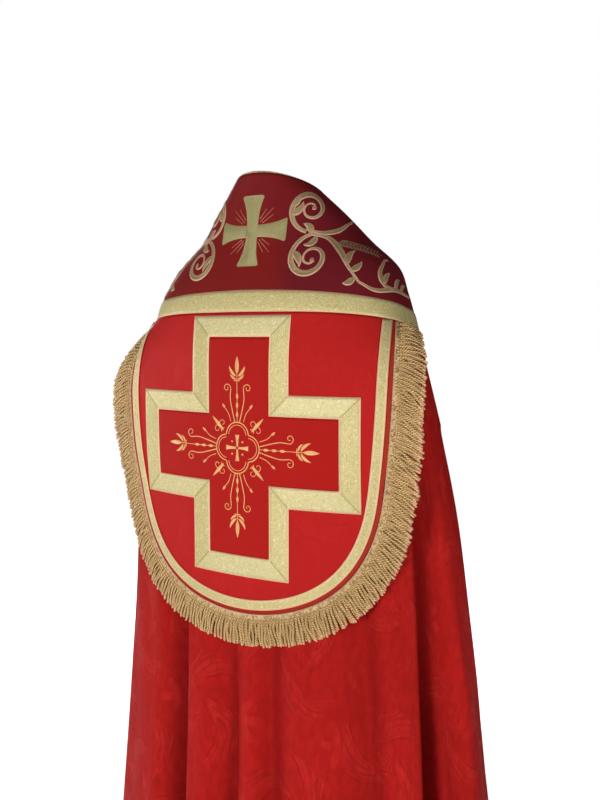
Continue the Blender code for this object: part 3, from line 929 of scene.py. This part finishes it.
def mantle_uv(across, up):
    far = FAN_INNER + (1 - up) * FAN_LONG
    angle = (across - 0.5) * FAN_ANGLE
    return pairs(far * np.sin(angle), -far * np.cos(angle))


mantle = cloth_from(
    "mantle_cloth", 330, 140, mantle_shape, mantle_red, MANTLE_THICK, mantle_uv, mantle_painted_shade
)

# ---- the orphrey band
BAND_FRONT_STEPS = 120
BAND_YOKE_STEPS = 200
BAND_STEPS = 2 * BAND_FRONT_STEPS + BAND_YOKE_STEPS
# how far the band's outer edge reaches over the mantle down the fronts, in degrees
BAND_REACH = 0.10
# how much longer the bent cloth is than the straight line between the band's edges
BAND_BULGE = 1.03


def band_lines():
    """Turn and height of the band's two edges, from one hem up, round the neck and down to the other."""
    down = np.linspace(1, 0, BAND_FRONT_STEPS + 1)[:-1]
    height = CHEST + (HEM + HEM_RISE_AT_FRONT - CHEST) * down
    share = np.linspace(-1, 1, BAND_YOKE_STEPS + 1)
    yoke = share * YOKE_TURN
    chest_front = front_turn(HALF_FRONT_GAP, CHEST)
    neck = yoke + np.sign(share) * (chest_front - YOKE_TURN) * np.abs(share) ** 4

    def whole(front, middle, side=1):
        return np.concatenate([side * front, middle, front[::-1]])

    outer = whole(side_edge(height), yoke, -1)
    outer = outer + np.sign(outer) * BAND_REACH * (np.abs(outer) >= YOKE_TURN)
    inner = whole(front_turn(HALF_FRONT_GAP, height), neck, -1)
    return inner, whole(height, neck_edge(neck)), outer, whole(height, yoke_edge(yoke))


BAND = band_lines()
BAND_OUTER = draped(*BAND[2:])
BAND_WIDE = np.linalg.norm(BAND_OUTER - draped(*BAND[:2]), axis=1)
BAND_ALONG = lengths(BAND_OUTER)


def band_at(station, across, lift=0.0):
    """A place on the band: station along it, from 0 to 1, and share across it from its inner edge."""
    inner_turn, inner_height, outer_turn, outer_height = (read_line(line, station) for line in BAND)
    turn = inner_turn + (outer_turn - inner_turn) * across
    return draped(turn, inner_height + (outer_height - inner_height) * across, lift)


def band_cloth(name, columns, share, wide, lift, look, thickness):
    """A cloth that takes a share of the band's width, in from its outer edge. Both share and wide, its
    real width, are lines along the band."""

    def shape(across, along):
        return band_at(along, 1 - (1 - across) * read_line(share, along), lift)

    def uv(across, along):
        return pairs((across - 0.5) * read_line(wide, along), read_line(BAND_ALONG, along))

    return cloth_from(name, columns, BAND_STEPS, shape, look, thickness, uv)


whole_band = np.ones(BAND_STEPS + 1)
galloon_share = GALLOON_WIDE / (BAND_WIDE * BAND_BULGE)
orphrey = band_cloth("orphrey_cloth", 44, whole_band, BAND_WIDE, 0.0, orphrey_red, ORPHREY_THICK)
galloon = band_cloth(
    "orphrey_galloon_ribbon",
    6,
    galloon_share,
    whole_band * GALLOON_WIDE,
    ORPHREY_THICK + LAYER_GAP,
    wide_galloon,
    GALLOON_THICK,
)


def add_piping():
    """The twisted gold cord along the neck and front edges."""
    station = np.linspace(0, 1, BAND_STEPS * 2 + 1)
    edge = band_at(station, 0.0, ORPHREY_THICK / 2)
    inward = unit(edge - band_at(station, 0.02, ORPHREY_THICK / 2))
    out = unit(np.cross(unit(np.gradient(edge, axis=0)), inward))
    middle = edge + inward * (PIPING_RADIUS - CORD_SUNK)
    radii = np.full(len(middle), PIPING_RADIUS)
    radii[[0, -1]] = 0
    bm = bmesh.new()
    tube(bm, middle, radii, inward, out, 8)
    return finish_piece(bm, "edge_cord", piping_gold, merge=1e-6)


piping = add_piping()


# ---- the hood
def hood_place(across, down):
    """Each point of the hood's grid, as a distance round from its middle and a height."""
    swing = np.pi * (across - 0.5)
    low = hood_low(swing)
    top = hood_top(np.sin(swing) * hood_half(-0.14)) - SEAM_GAP
    height = low + (top - low) * down**0.8
    return np.sin(swing) * hood_half(height), height


def hood_shape(across, down):
    return hood_at(*hood_place(across, down))


def hood_uv(across, down):
    return pairs(*hood_place(across, down))


def hood_painted_shade(across, down):
    """Painted shade: how far each point lies on the narrow rim between the galloon and the fringe, which
    lies in their shade and is darkened to a brown red.
    """
    outline, _ = hood_outline(0.0)
    off_rim = [np.linalg.norm(outline - point, axis=1).min() for point in hood_uv(across, down)]
    return np.clip(1 - (np.array(off_rim) - HOOD_MARGIN) / (0.6 * HOOD_GALLOON_WIDE), 0, 1)


def hood_strip(name, columns, inner, outer, measured, wide, lift, corner_lift, look, thickness):
    """A ribbon round the hood between two lines. Its length is measured along a third."""
    steps = len(inner) - 1
    along = lengths(measured)

    def shape(across, station):
        n = np.rint(station * steps).astype(int)
        arc, height = (inner[n] + (outer[n] - inner[n]) * across[:, None]).T
        corner = np.clip((height - CORNER_START) / CORNER_SPREAD, 0, 1)
        return hood_at(arc, height, lift + corner * corner_lift)

    def uv(across, station):
        return pairs((across - 0.5) * wide, read_line(along, station))

    return cloth_from(name, columns, steps, shape, look, thickness, uv)


hood = cloth_from("hood_cloth", 96, 84, hood_shape, hood_red, HOOD_THICK, hood_uv, hood_painted_shade)
galloon_outer, _ = hood_outline(HOOD_MARGIN)
galloon_inner, _ = hood_outline(HOOD_MARGIN + HOOD_GALLOON_WIDE)
hood_galloon = hood_strip(
    "hood_galloon_ribbon",
    5,
    galloon_inner,
    galloon_outer,
    galloon_outer,
    HOOD_GALLOON_WIDE,
    ON_HOOD,
    CORNER_LIFT,
    narrow_galloon,
    GALLOON_THICK,
)


def cross_corners(inset):
    """The cross's twelve corners, from its top one on the wearer's left, towards the right."""
    bar = CROSS_HALF_BAR - inset
    span = CROSS_HALF_SPAN - inset
    arms = (CROSS_ARM_TOP - inset, CROSS_ARM_BOTTOM + inset)
    right = [(bar, CROSS_TOP - inset), (bar, arms[0]), (span, arms[0])]
    right += [(span, arms[1]), (bar, arms[1]), (bar, CROSS_BOTTOM + inset)]
    left = [(-arc, height) for arc, height in right]
    return np.array(left[:1] + right + left[:0:-1])


def add_cross_galloon():
    """Twelve lengths of galloon, mitred to each other round the outline of a cross."""
    outer = cross_corners(0.0)
    inner = cross_corners(CROSS_BAND)
    bm = bmesh.new()
    mitre = bm.verts.layers.float.new("mitre")
    lit = bm.verts.layers.float.new("lit")
    for n in range(12):
        side = outer[(n + 1) % 12] - outer[n]
        inner_side = inner[(n + 1) % 12] - inner[n]
        long = np.linalg.norm(side)
        verts, share = lay_grid(bm, 6, max(6, round(long / CROSS_GRID)))
        across, along = share[:, :1], share[:, 1:]
        out_line = outer[n] + side * along
        flat = out_line + (inner[n] + inner_side * along - out_line) * (1 - across)
        put(verts, hood_at(flat[:, 0], flat[:, 1], ON_HOOD))
        for vert, end in zip(verts, np.abs(2 * share[:, 1] - 1)):
            vert[mitre] = float(end > 0.999)
            # painted highlight: the lengths that run across are marked lit, to be drawn lighter
            vert[lit] = abs(side[0]) / long * (1 - vert[mitre])
        # each length is cut from its own part of the ribbon
        far = (flat - outer[n]) @ side / long + n * RIBBON_STEP
        give_uv(bm, verts, pairs((across[:, 0] - 0.5) * CROSS_BAND, far))
    bmesh.ops.reverse_faces(bm, faces=bm.faces)
    piece = finish_piece(bm, "cross_galloon_ribbon", cross_galloon_gold, merge=1e-5)
    return thicken(piece, GALLOON_THICK)


def add_cross_panel():
    """The plain red cross inside the galloon: five patches joined at their edges."""
    gap = CROSS_BAND + LAYER_GAP
    bar = CROSS_HALF_BAR - gap
    span = CROSS_HALF_SPAN - gap
    heights = (CROSS_BOTTOM + gap, CROSS_ARM_BOTTOM + gap, CROSS_ARM_TOP - gap, CROSS_TOP - gap)
    patches = ((-bar, bar, 0), (-bar, bar, 1), (-bar, bar, 2), (-span, -bar, 1), (bar, span, 1))
    bm = bmesh.new()
    for left, right, row in patches:
        verts, share = lay_grid(bm, 24, 24)
        arc = left + (right - left) * share[:, 0]
        height = heights[row] + (heights[row + 1] - heights[row]) * share[:, 1]
        put(verts, hood_at(arc, height, ON_HOOD))
        give_uv(bm, verts, pairs(arc, height))
    return thicken(finish_piece(bm, "cross_satin", panel_red, merge=1e-5), PANEL_THICK)


cross_galloon = add_cross_galloon()
cross_panel = add_cross_panel()

# ---- the fringe
# a strand swings with its group and a little on its own, by these shares of its length
GROUP_WAVE = 0.0145
GROUP_DRIFT = 0.041
GROUP_SWING = 0.10
OWN_SWING = 0.06
SWAY = 0.0021
STRAND_LAYERS = 3
LAYER_RISE = 0.0022
STRAND_BELOW_YOKE = 0.003
STIFF_FROM = -0.34
STIFF_SPREAD = 0.2
STIFF_OFF = 0.007

hood_line, hood_out = hood_outline(-SEAM_GAP)
heading_rim = hood_line + hood_out * FRINGE_HEADER
heading_rim[:, 1] = np.minimum(heading_rim[:, 1], hood_top(heading_rim[:, 0]) - 2 * SEAM_GAP)
heading = hood_strip(
    "fringe_heading",
    4,
    hood_line,
    heading_rim,
    hood_line,
    FRINGE_HEADER,
    LAYER_GAP,
    0.0,
    braid_gold,
    HEADING_THICK,
)


def add_strands():
    """The fringe's strands: each a twisted yarn that leaves the heading and droops, in uneven groups."""
    along = lengths(hood_line)
    chance = random.Random(7)
    where = (np.arange(FRINGE_STRANDS) + 0.5) / FRINGE_STRANDS * along[-1]
    base = pairs(*(np.interp(where, along, column) for column in hood_line.T))
    away = unit(pairs(*(np.interp(where, along, column) for column in hood_out.T)))
    root = base + away * (FRINGE_HEADER - STRAND_TUCK)
    root[:, 1] = np.minimum(root[:, 1], hood_top(root[:, 0]) - STRAND_BELOW_YOKE)
    hang = unit(away + np.array([0.0, -FRINGE_SAG]))
    sideways = leftward(hang)
    share = np.append(np.linspace(0, 0.955, 10), [0.988, 1.0])
    thick = np.append(np.ones(9), [1.06, 0.84, 0.0])
    flats = []
    lifts = []
    for n in range(FRINGE_STRANDS):
        group = math.sin(where[n] / GROUP_WAVE + 1.7 * math.sin(where[n] / GROUP_DRIFT)) * GROUP_SWING
        swing = group + chance.uniform(-OWN_SWING, OWN_SWING)
        long = (FRINGE_LONG + STRAND_TUCK) * chance.uniform(0.95, 1.07)
        droop = chance.uniform(0.22, 0.38)
        sway = chance.uniform(-1, 1) * SWAY
        aside = swing * share**1.5 * long + sway * np.sin(share * 6.5 + chance.uniform(0, 6))
        flat = root[n] + np.outer(share * long, hang[n]) + np.outer(aside, sideways[n])
        flat[:, 1] -= droop * share**2 * long * (1 - abs(hang[n, 1]))
        flats.append(flat)
        # the strands beside the hood stand off its stiff edge, and the lower ones lie in layers
        stiff = min(max((base[n, 1] - STIFF_FROM) / STIFF_SPREAD, 0), 1) * STIFF_OFF
        layer = (n % STRAND_LAYERS) * LAYER_RISE * np.minimum(share * 4, 1)
        lifts.append(0.0010 + layer + stiff * share + 0.0012 * np.sin(share * 3.1))
    arcs, heights = np.moveaxis(flats, -1, 0)
    bm = bmesh.new()
    for middle in hood_at(arcs, heights, lifts):
        ahead = unit(np.gradient(middle, axis=0))
        out = unit(np.cross(ahead, np.array([0.3, 0.2, 1.0])))
        radii = STRAND_RADIUS * chance.uniform(0.88, 1.1) * thick
        tube(bm, middle, radii, out, np.cross(ahead, out), 5)
    return finish_piece(bm, "fringe_strands", strand_gold, merge=1e-6)


strands = add_strands()

# ---- the clasp
MORSE_WIDE = 0.150
MORSE_TALL = 0.064
MORSE_BOTTOM = -0.272


def morse_shape(across, up):
    x = (across - 0.5) * MORSE_WIDE
    height = MORSE_BOTTOM + MORSE_TALL * up
    turn = front_turn(np.abs(x), height)
    return draped(turn * np.where(x > 0, -1, 1), height, ORPHREY_THICK + MORSE_OFF)


morse = cloth_from("morse_cloth", 40, 18, morse_shape, orphrey_red, ORPHREY_THICK)


# ---- needlework
class Needlework:
    """Padded gold stitching, drawn flat and laid on a surface of the cope."""

    def __init__(self, on):
        self.on = on
        self.bm = bmesh.new()
        self.verts = []
        self.flat = []
        self.lift = []

    def line(self, points, widths, raised=THREAD_RAISED, rib=0.0, columns=4):
        """A stitched line along flat points. rib is the depth of the groove along its middle."""
        points = np.asarray(points, float)
        widths = np.broadcast_to(np.asarray(widths, float), (len(points),))
        left = leftward(unit(np.gradient(points, axis=0)))
        steps = len(points) - 1
        verts, share = lay_grid(self.bm, columns, steps)
        n = np.rint(share[:, 1] * steps).astype(int)
        across = share[:, 0] - 0.5
        swell = np.sqrt(np.clip(1 - (2 * across) ** 2, 0, 1))
        groove = rib * np.clip(1 - np.abs(across) * 6, 0, 1)
        slim = np.clip(widths[n] / 0.0016, 0.15, 1)
        self.verts.extend(verts)
        self.flat.append(points[n] - left[n] * (across * widths[n])[:, None])
        self.lift.append((raised * swell - groove) * slim - THREAD_SUNK)
        give_uv(self.bm, verts, pairs((0.5 - np.abs(across)) * widths[n], lengths(points)[n]))

    def leaf(self, base, tip, wide, bend=0.0, raised=THREAD_RAISED):
        """A pointed leaf from base to tip, bent to its left by a share of its length."""
        base = np.asarray(base, float)
        tip = np.asarray(tip, float)
        t = np.linspace(0, 1, 15)[:, None]
        along = tip - base
        middle = (base + tip) / 2 + np.array([-along[1], along[0]]) * bend * 2
        points = base * (1 - t) ** 2 + middle * 2 * t * (1 - t) + tip * t * t
        profile = np.sin(np.pi * t[:, 0] ** 0.8) ** 0.85
        self.line(points, wide * profile + 0.0002, raised, rib=0.0006, columns=6)

    def finish(self, name, look, base_lift):
        flat = np.concatenate(self.flat)
        put(self.verts, self.on(flat[:, 0], flat[:, 1], base_lift + np.concatenate(self.lift)))
        return finish_piece(self.bm, name, look)


def on_yoke(arc, height, lift):
    return draped(turn_at(arc, height), height, lift)


def volute(centre, first, last, start, sweep, steps=60):
    """A spiral from radius first to radius last, from the angle start through sweep, in degrees."""
    t = np.linspace(0, 1, steps + 1)
    angle = np.radians(start + sweep * t)
    radius = first * (last / first) ** t
    return np.asarray(centre) + pairs(np.cos(angle), np.sin(angle)) * radius[:, None]


def curve_through(*points, steps=40):
    """A smooth line through a few points."""
    key = np.linspace(0, 1, len(points))
    t = np.linspace(0, 1, steps + 1)
    return pairs(*(smooth_read(key, column, t) for column in np.array(points, float).T))


def swelling(count, thin, thick, where=0.45):
    t = np.linspace(0, 1, count)
    return thin + (thick - thin) * np.exp(-(((t - where) / 0.28) ** 2))


CROSS_MIDDLE = 0.003
CROSS_HALF = 0.0595
CROSS_NARROW = 0.0215


def blunted(far, last):
    """How a bar's width is rounded off over the last share of its length."""
    return np.sqrt(1 - 0.35 * np.clip((far - 1 + last) / last, 0, 1) ** 3)


def back_cross():
    """The splayed cross at the centre of the orphrey's back."""
    work = Needlework(on_yoke)
    t = np.linspace(0, 1, 45)
    far = np.abs(2 * t - 1)
    upright = pairs(0 * t, CROSS_MIDDLE + CROSS_HALF * (2 * t - 1))
    work.line(upright, (CROSS_NARROW + 0.0235 * far**2.6) * blunted(far, 0.06), columns=12)
    for side in (1, -1):
        arm = pairs(side * (0.010 + 0.052 * t), 0 * t + CROSS_MIDDLE)
        work.line(arm, (CROSS_NARROW + 0.0215 * t**2.4) * blunted(t, 0.08), columns=12)
    return work.finish("back_cross", cross_gold, ORPHREY_THICK)


def cross_rays():
    """Three fine rays between each two arms of the cross."""
    work = Needlework(on_yoke)
    for quarter in range(4):
        for spread, near, far in ((-10, 0.023, 0.046), (0, 0.021, 0.053), (10, 0.024, 0.044)):
            angle = math.radians(45 + 90 * quarter + spread)
            direction = np.array([math.cos(angle), math.sin(angle)])
            points = np.array([0.0, CROSS_MIDDLE]) + np.outer(np.linspace(near, far, 6), direction)
            work.line(points, np.linspace(0.0014, 0.0007, 6), raised=0.0007)
    return work.finish("cross_rays", ray_gold, ORPHREY_THICK)


# each volute's centre, radius, first angle and sweep
SCROLL_VOLUTES = (((0.110, -0.046), 0.041, 96, 585), ((0.099, 0.037), 0.039, -96, -585))
SCROLL_EYE = 0.0080
# each branch's points and greatest width
SCROLL_BANDS = (
    ((0.102, -0.006), (0.132, -0.013), (0.156, -0.036), (0.172, -0.060), (0.194, -0.086), 0.0104),
    ((0.194, -0.086), (0.224, -0.099), (0.262, -0.097), (0.300, -0.104), (0.318, -0.108), 0.0088),
    ((0.098, 0.001), (0.122, -0.004), (0.146, 0.000), (0.168, 0.013), (0.190, 0.022), 0.0094),
    ((0.262, -0.097), (0.240, -0.090), (0.229, -0.070), (0.240, -0.050), (0.252, -0.047), 0.0096),
)
# each leaf's base, tip, width and bend
SCROLL_LEAVES = (
    ((0.102, -0.006), (0.088, 0.012), 0.0120, -0.22),
    ((0.112, -0.008), (0.093, -0.024), 0.0120, 0.26),
    ((0.0765, -0.0350), (0.0945, -0.0620), 0.0120, 0.16),
    ((0.0740, -0.0520), (0.0880, -0.0700), 0.0095, 0.16),
    ((0.0670, 0.0270), (0.0850, 0.0500), 0.0120, -0.16),
    ((0.0655, 0.0420), (0.0790, 0.0590), 0.0095, -0.16),
    ((0.172, -0.060), (0.181, -0.034), 0.0130, 0.22),
    ((0.176, -0.066), (0.194, -0.052), 0.0120, -0.20),
    ((0.186, -0.078), (0.168, -0.088), 0.0120, 0.18),
    ((0.240, -0.090), (0.252, -0.070), 0.0120, 0.20),
    ((0.268, -0.098), (0.282, -0.080), 0.0130, 0.24),
    ((0.284, -0.101), (0.302, -0.090), 0.0105, 0.20),
)


def orphrey_scrolls():
    """Leafy scrolls on both sides of the cross, with a branch to each shoulder."""
    work = Needlework(on_yoke)
    for side in (1, -1):
        mirror = np.array([side, 1.0])
        for centre, radius, start, sweep in SCROLL_VOLUTES:
            winding = volute(centre, radius, SCROLL_EYE, start, sweep)
            widths = swelling(len(winding), 0.0036, 0.0108, 0.26)
            work.line(winding * mirror, widths, rib=0.0010, columns=6)
            eye = (centre[0] + 0.001, centre[1] - 0.001)
            work.leaf(winding[-1] * mirror, eye * mirror, 0.0080, 0.1)
        for *points, wide in SCROLL_BANDS:
            band = curve_through(*points) * mirror
            work.line(band, swelling(len(band), 0.0040, wide), rib=0.0009, columns=6)
        for base, tip, wide, bend in SCROLL_LEAVES:
            work.leaf(base * mirror, tip * mirror, wide, bend * side)
    return work.finish("orphrey_scrolls", scroll_gold, ORPHREY_THICK)


def wheat_ears():
    """An ear of wheat on each shoulder, its grains in pairs up a stalk."""
    work = Needlework(on_yoke)
    stalk = curve_through((0.128, -0.016), (0.150, -0.020), (0.190, -0.028), (0.238, -0.040))
    for side in (1, -1):
        mirror = np.array([side, 1.0])
        work.line(stalk * mirror, 0.0014, raised=0.0007)
        for place, after in zip(stalk[14:38:2], stalk[15:39:2]):
            ahead = unit(after - place)
            left = np.array([-ahead[1], ahead[0]])
            for hand in (1, -1):
                tip = place + ahead * 0.0095 + left * hand * 0.0058
                work.leaf(place * mirror, tip * mirror, 0.0027, 0.10 * hand * side, 0.0009)
    return work.finish("wheat_ears", wheat_gold, ORPHREY_THICK)


# ---- the filigree on the hood's cross
FILIGREE_CENTRE = np.array([-0.0010, -0.3540])
FILIGREE_LINE = 0.0018
FILIGREE_SPREAD = np.array([1.07, 1.09])
# the lines and leaves of one side of an arm, which runs out along the first number
ARM_STEM = curve_through((0.0385, 0.004), (0.055, 0.0085), (0.074, 0.0125), (0.090, 0.0115), steps=24)
ARM_CURL = volute((0.0905, 0.0190), 0.0075, 0.0022, -90, 400, 30)
ARM_INNER = curve_through((0.040, 0.0115), (0.052, 0.0160), (0.060, 0.0225), steps=14)
ARM_LEAVES = (
    ((0.060, 0.0225), (0.0665, 0.0275), 0.0040, 0.0),
    ((0.1085, 0.0015), (0.1245, 0.0140), 0.0050, 0.12),
    ((0.1040, 0.0012), (0.1120, 0.0125), 0.0036, 0.12),
)
# where the beads and the bud along its middle begin and end, and their widths
ARM_BEADS = (
    (0.046, 0.056, 0.0046),
    (0.060, 0.070, 0.0046),
    (0.074, 0.084, 0.0046),
    (0.112, 0.138, 0.0075),
)
CORNER_HEART = volute((0.0455, 0.0068), 0.0085, 0.0024, -160, 380, 30)
CORNER_BEADS = ((0.0118, 0.0152, 0.0034), (0.036, 0.066, 0.0058))


def hood_filigree():
    """A fine gold filigree cross: a lobed ring round a small plain cross, with four budding arms."""
    work = Needlework(hood_at)

    def placed(points, degrees):
        """Flat points, turned about the middle of the filigree and moved to its place on the hood."""
        angle = math.radians(degrees)
        x, y = np.asarray(points, float).T
        turned = pairs(
            x * math.cos(angle) - y * math.sin(angle), x * math.sin(angle) + y * math.cos(angle)
        )
        return turned * FILIGREE_SPREAD + FILIGREE_CENTRE

    def draw(points, degrees, widths=FILIGREE_LINE):
        work.line(placed(points, degrees), widths, raised=0.0007)

    def petal(base, tip, degrees, wide, bend=0.0):
        work.leaf(*placed((base, tip), degrees), wide, bend, 0.0008)

    t = np.linspace(0, 1, 13)
    swing = np.radians(np.linspace(-86, 86, 41))
    for lobe, wide in ((0.0200, 0.0019), (0.0158, 0.0012)):
        for turn in (0, 90, 180, 270):
            draw(pairs(0.0190 + lobe * np.cos(swing), lobe * np.sin(swing)), turn, wide)
    for turn in (0, 90, 180, 270):
        # the small cross inside the ring
        draw(pairs(0.002 + 0.018 * t, 0 * t), turn, 0.0036 + 0.0052 * t**2)
        for hand in (1, -1):
            flip = np.array([1.0, hand])
            draw(ARM_STEM * flip, turn)
            draw(ARM_CURL * flip, turn, np.linspace(0.0016, 0.0011, 31))
            draw(ARM_INNER * flip, turn, 0.0013)
            for base, tip, wide, bend in ARM_LEAVES:
                petal(base * flip, tip * flip, turn, wide, bend * hand)
            draw(CORNER_HEART * flip, turn + 45, np.linspace(0.0015, 0.0010, 31))
        draw(((0.040, 0.0), (0.070, 0.0), (0.100, 0.0), (0.116, 0.0)), turn, 0.0013)
        draw(((0.1020, -0.0055), (0.1020, 0.0), (0.1020, 0.0055)), turn, 0.0015)
        for beads, degrees in ((ARM_BEADS, turn), (CORNER_BEADS, turn + 45)):
            for near, far, wide in beads:
                petal((near, 0.0), (far, 0.0), degrees, wide)
    return work.finish("hood_filigree", fine_gold, ON_HOOD + PANEL_THICK)


cross_piece = back_cross()
rays_piece = cross_rays()
scrolls_piece = orphrey_scrolls()
wheat_piece = wheat_ears()
filigree = hood_filigree()

# ---- the parts of model.glb that each piece stands for are hidden; the slot names are not used
for piece, slot, *nodes in (
    (mantle, "damask_red", "mantle"),
    (orphrey, "orphrey_dark_red", "orphrey_left_front", "orphrey_yoke", "orphrey_right_front"),
    (galloon, "galloon_gold", "orphrey_galloon"),
    (piping, "piping_gold", "edge_piping"),
    (hood, "hood_red", "hood"),
    (hood_galloon, "galloon_gold", "hood_galloon"),
    (cross_galloon, "galloon_gold", "hood_cross_galloon"),
    (cross_panel, "panel_red", "hood_cross_panel"),
    (heading, "fringe_gold", "hood_fringe"),
    (strands, "fringe_gold"),
    (morse, "orphrey_dark_red", "morse"),
    (cross_piece, "galloon_gold"),
    (rays_piece, "galloon_gold"),
    (scrolls_piece, "galloon_gold"),
    (wheat_piece, "galloon_gold"),
    (filigree, "galloon_gold"),
):
    if nodes:
        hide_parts(*nodes)

# ---- the studio
FLOOR_RADIUS = 12.0
FLOOR_BELOW_HEM = 0.06
CAMERA_AT = (-0.700, 1.2124, -0.170)
CAMERA_TURN = math.radians(30)
CAMERA_LENS = 34.7
# how far the aim drops and turns, as the shift of the view's middle over the lens's length in pixels
LENS_IN_PIXELS = 771
CAMERA_DOWN = math.atan(64 / LENS_IN_PIXELS)
CAMERA_YAW = math.atan(-14 / LENS_IN_PIXELS)
LIGHTS_AIM = Vector((0, 0, -0.45))


def point_at(made, direction):
    made.rotation_euler = direction.to_track_quat("-Z", "Y").to_euler()


def add_floor():
    """A pale floor that fades into the white room some way from the cope."""
    bm = bmesh.new()
    bmesh.ops.create_circle(bm, cap_ends=True, segments=96, radius=FLOOR_RADIUS)
    bmesh.ops.translate(bm, verts=bm.verts, vec=(0, 0, HEM - FLOOR_BELOW_HEM))
    mesh = bpy.data.meshes.new("floor")
    bm.to_mesh(mesh)
    bm.free()
    look = Look("Pale floor")
    far = look.number("VectorMath", {0: look.place()}, "Value", operation="LENGTH")
    seen = look.add("LightPath", {}).outputs["Is Camera Ray"]
    mesh.materials.append(
        look.surface(
            Base_Color=look.mix(look.noise(look.place(), 2.0), (0.86, 0.86, 0.86), (0.89, 0.89, 0.89)),
            Roughness=0.9,
            Specular_IOR_Level=0.0,
            Emission_Color=(1, 1, 1, 1),
            Emission_Strength=far.step(1.45, 2.1, 0.55, 1.0) * seen,
        )
    )
    add_object("floor", mesh)


def add_area_light(name, place, size, power):
    data = bpy.data.lights.new(name, "AREA")
    data.shape = "DISK"
    data.size = size
    data.energy = power
    light = add_object(name, data)
    light.location = place
    point_at(light, LIGHTS_AIM - light.location)


def add_camera():
    data = bpy.data.cameras.new("camera")
    data.sensor_fit = "VERTICAL"
    data.sensor_height = 36
    data.lens = CAMERA_LENS
    data.clip_end = 50
    camera = add_object("camera", data)
    camera.location = CAMERA_AT
    turn = CAMERA_TURN + CAMERA_YAW
    level = Vector((math.sin(turn), -math.cos(turn), 0.0)) * math.cos(CAMERA_DOWN)
    point_at(camera, level - Vector((0, 0, math.sin(CAMERA_DOWN))))
    bpy.context.scene.camera = camera


def add_world(light, seen):
    """A white room: what the camera sees behind the cope is brighter than what lights it."""
    world = bpy.data.worlds.new("White room")
    world.use_nodes = True
    tree = world.node_tree
    back = tree.nodes["Background"]
    back.inputs["Color"].default_value = (1, 1, 1, 1)
    path = tree.nodes.new("ShaderNodeLightPath")
    strength = tree.nodes.new("ShaderNodeMapRange")
    strength.inputs["To Min"].default_value = light
    strength.inputs["To Max"].default_value = seen
    tree.links.new(path.outputs["Is Camera Ray"], strength.inputs["Value"])
    tree.links.new(strength.outputs[0], back.inputs["Strength"])
    bpy.context.scene.world = world


add_floor()
add_camera()
add_world(light=0.02, seen=1.0)
add_area_light("key", (0.42, 2.96, -0.30), 0.9, 54.5)
add_area_light("right", (-2.49, 1.68, -0.30), 1.1, 46)
add_area_light("left", (2.92, 0.70, -0.30), 1.1, 30)
add_area_light("front", (1.7, -1.9, 0.4), 2.0, 40)
bpy.context.scene.view_settings.view_transform = "Standard"
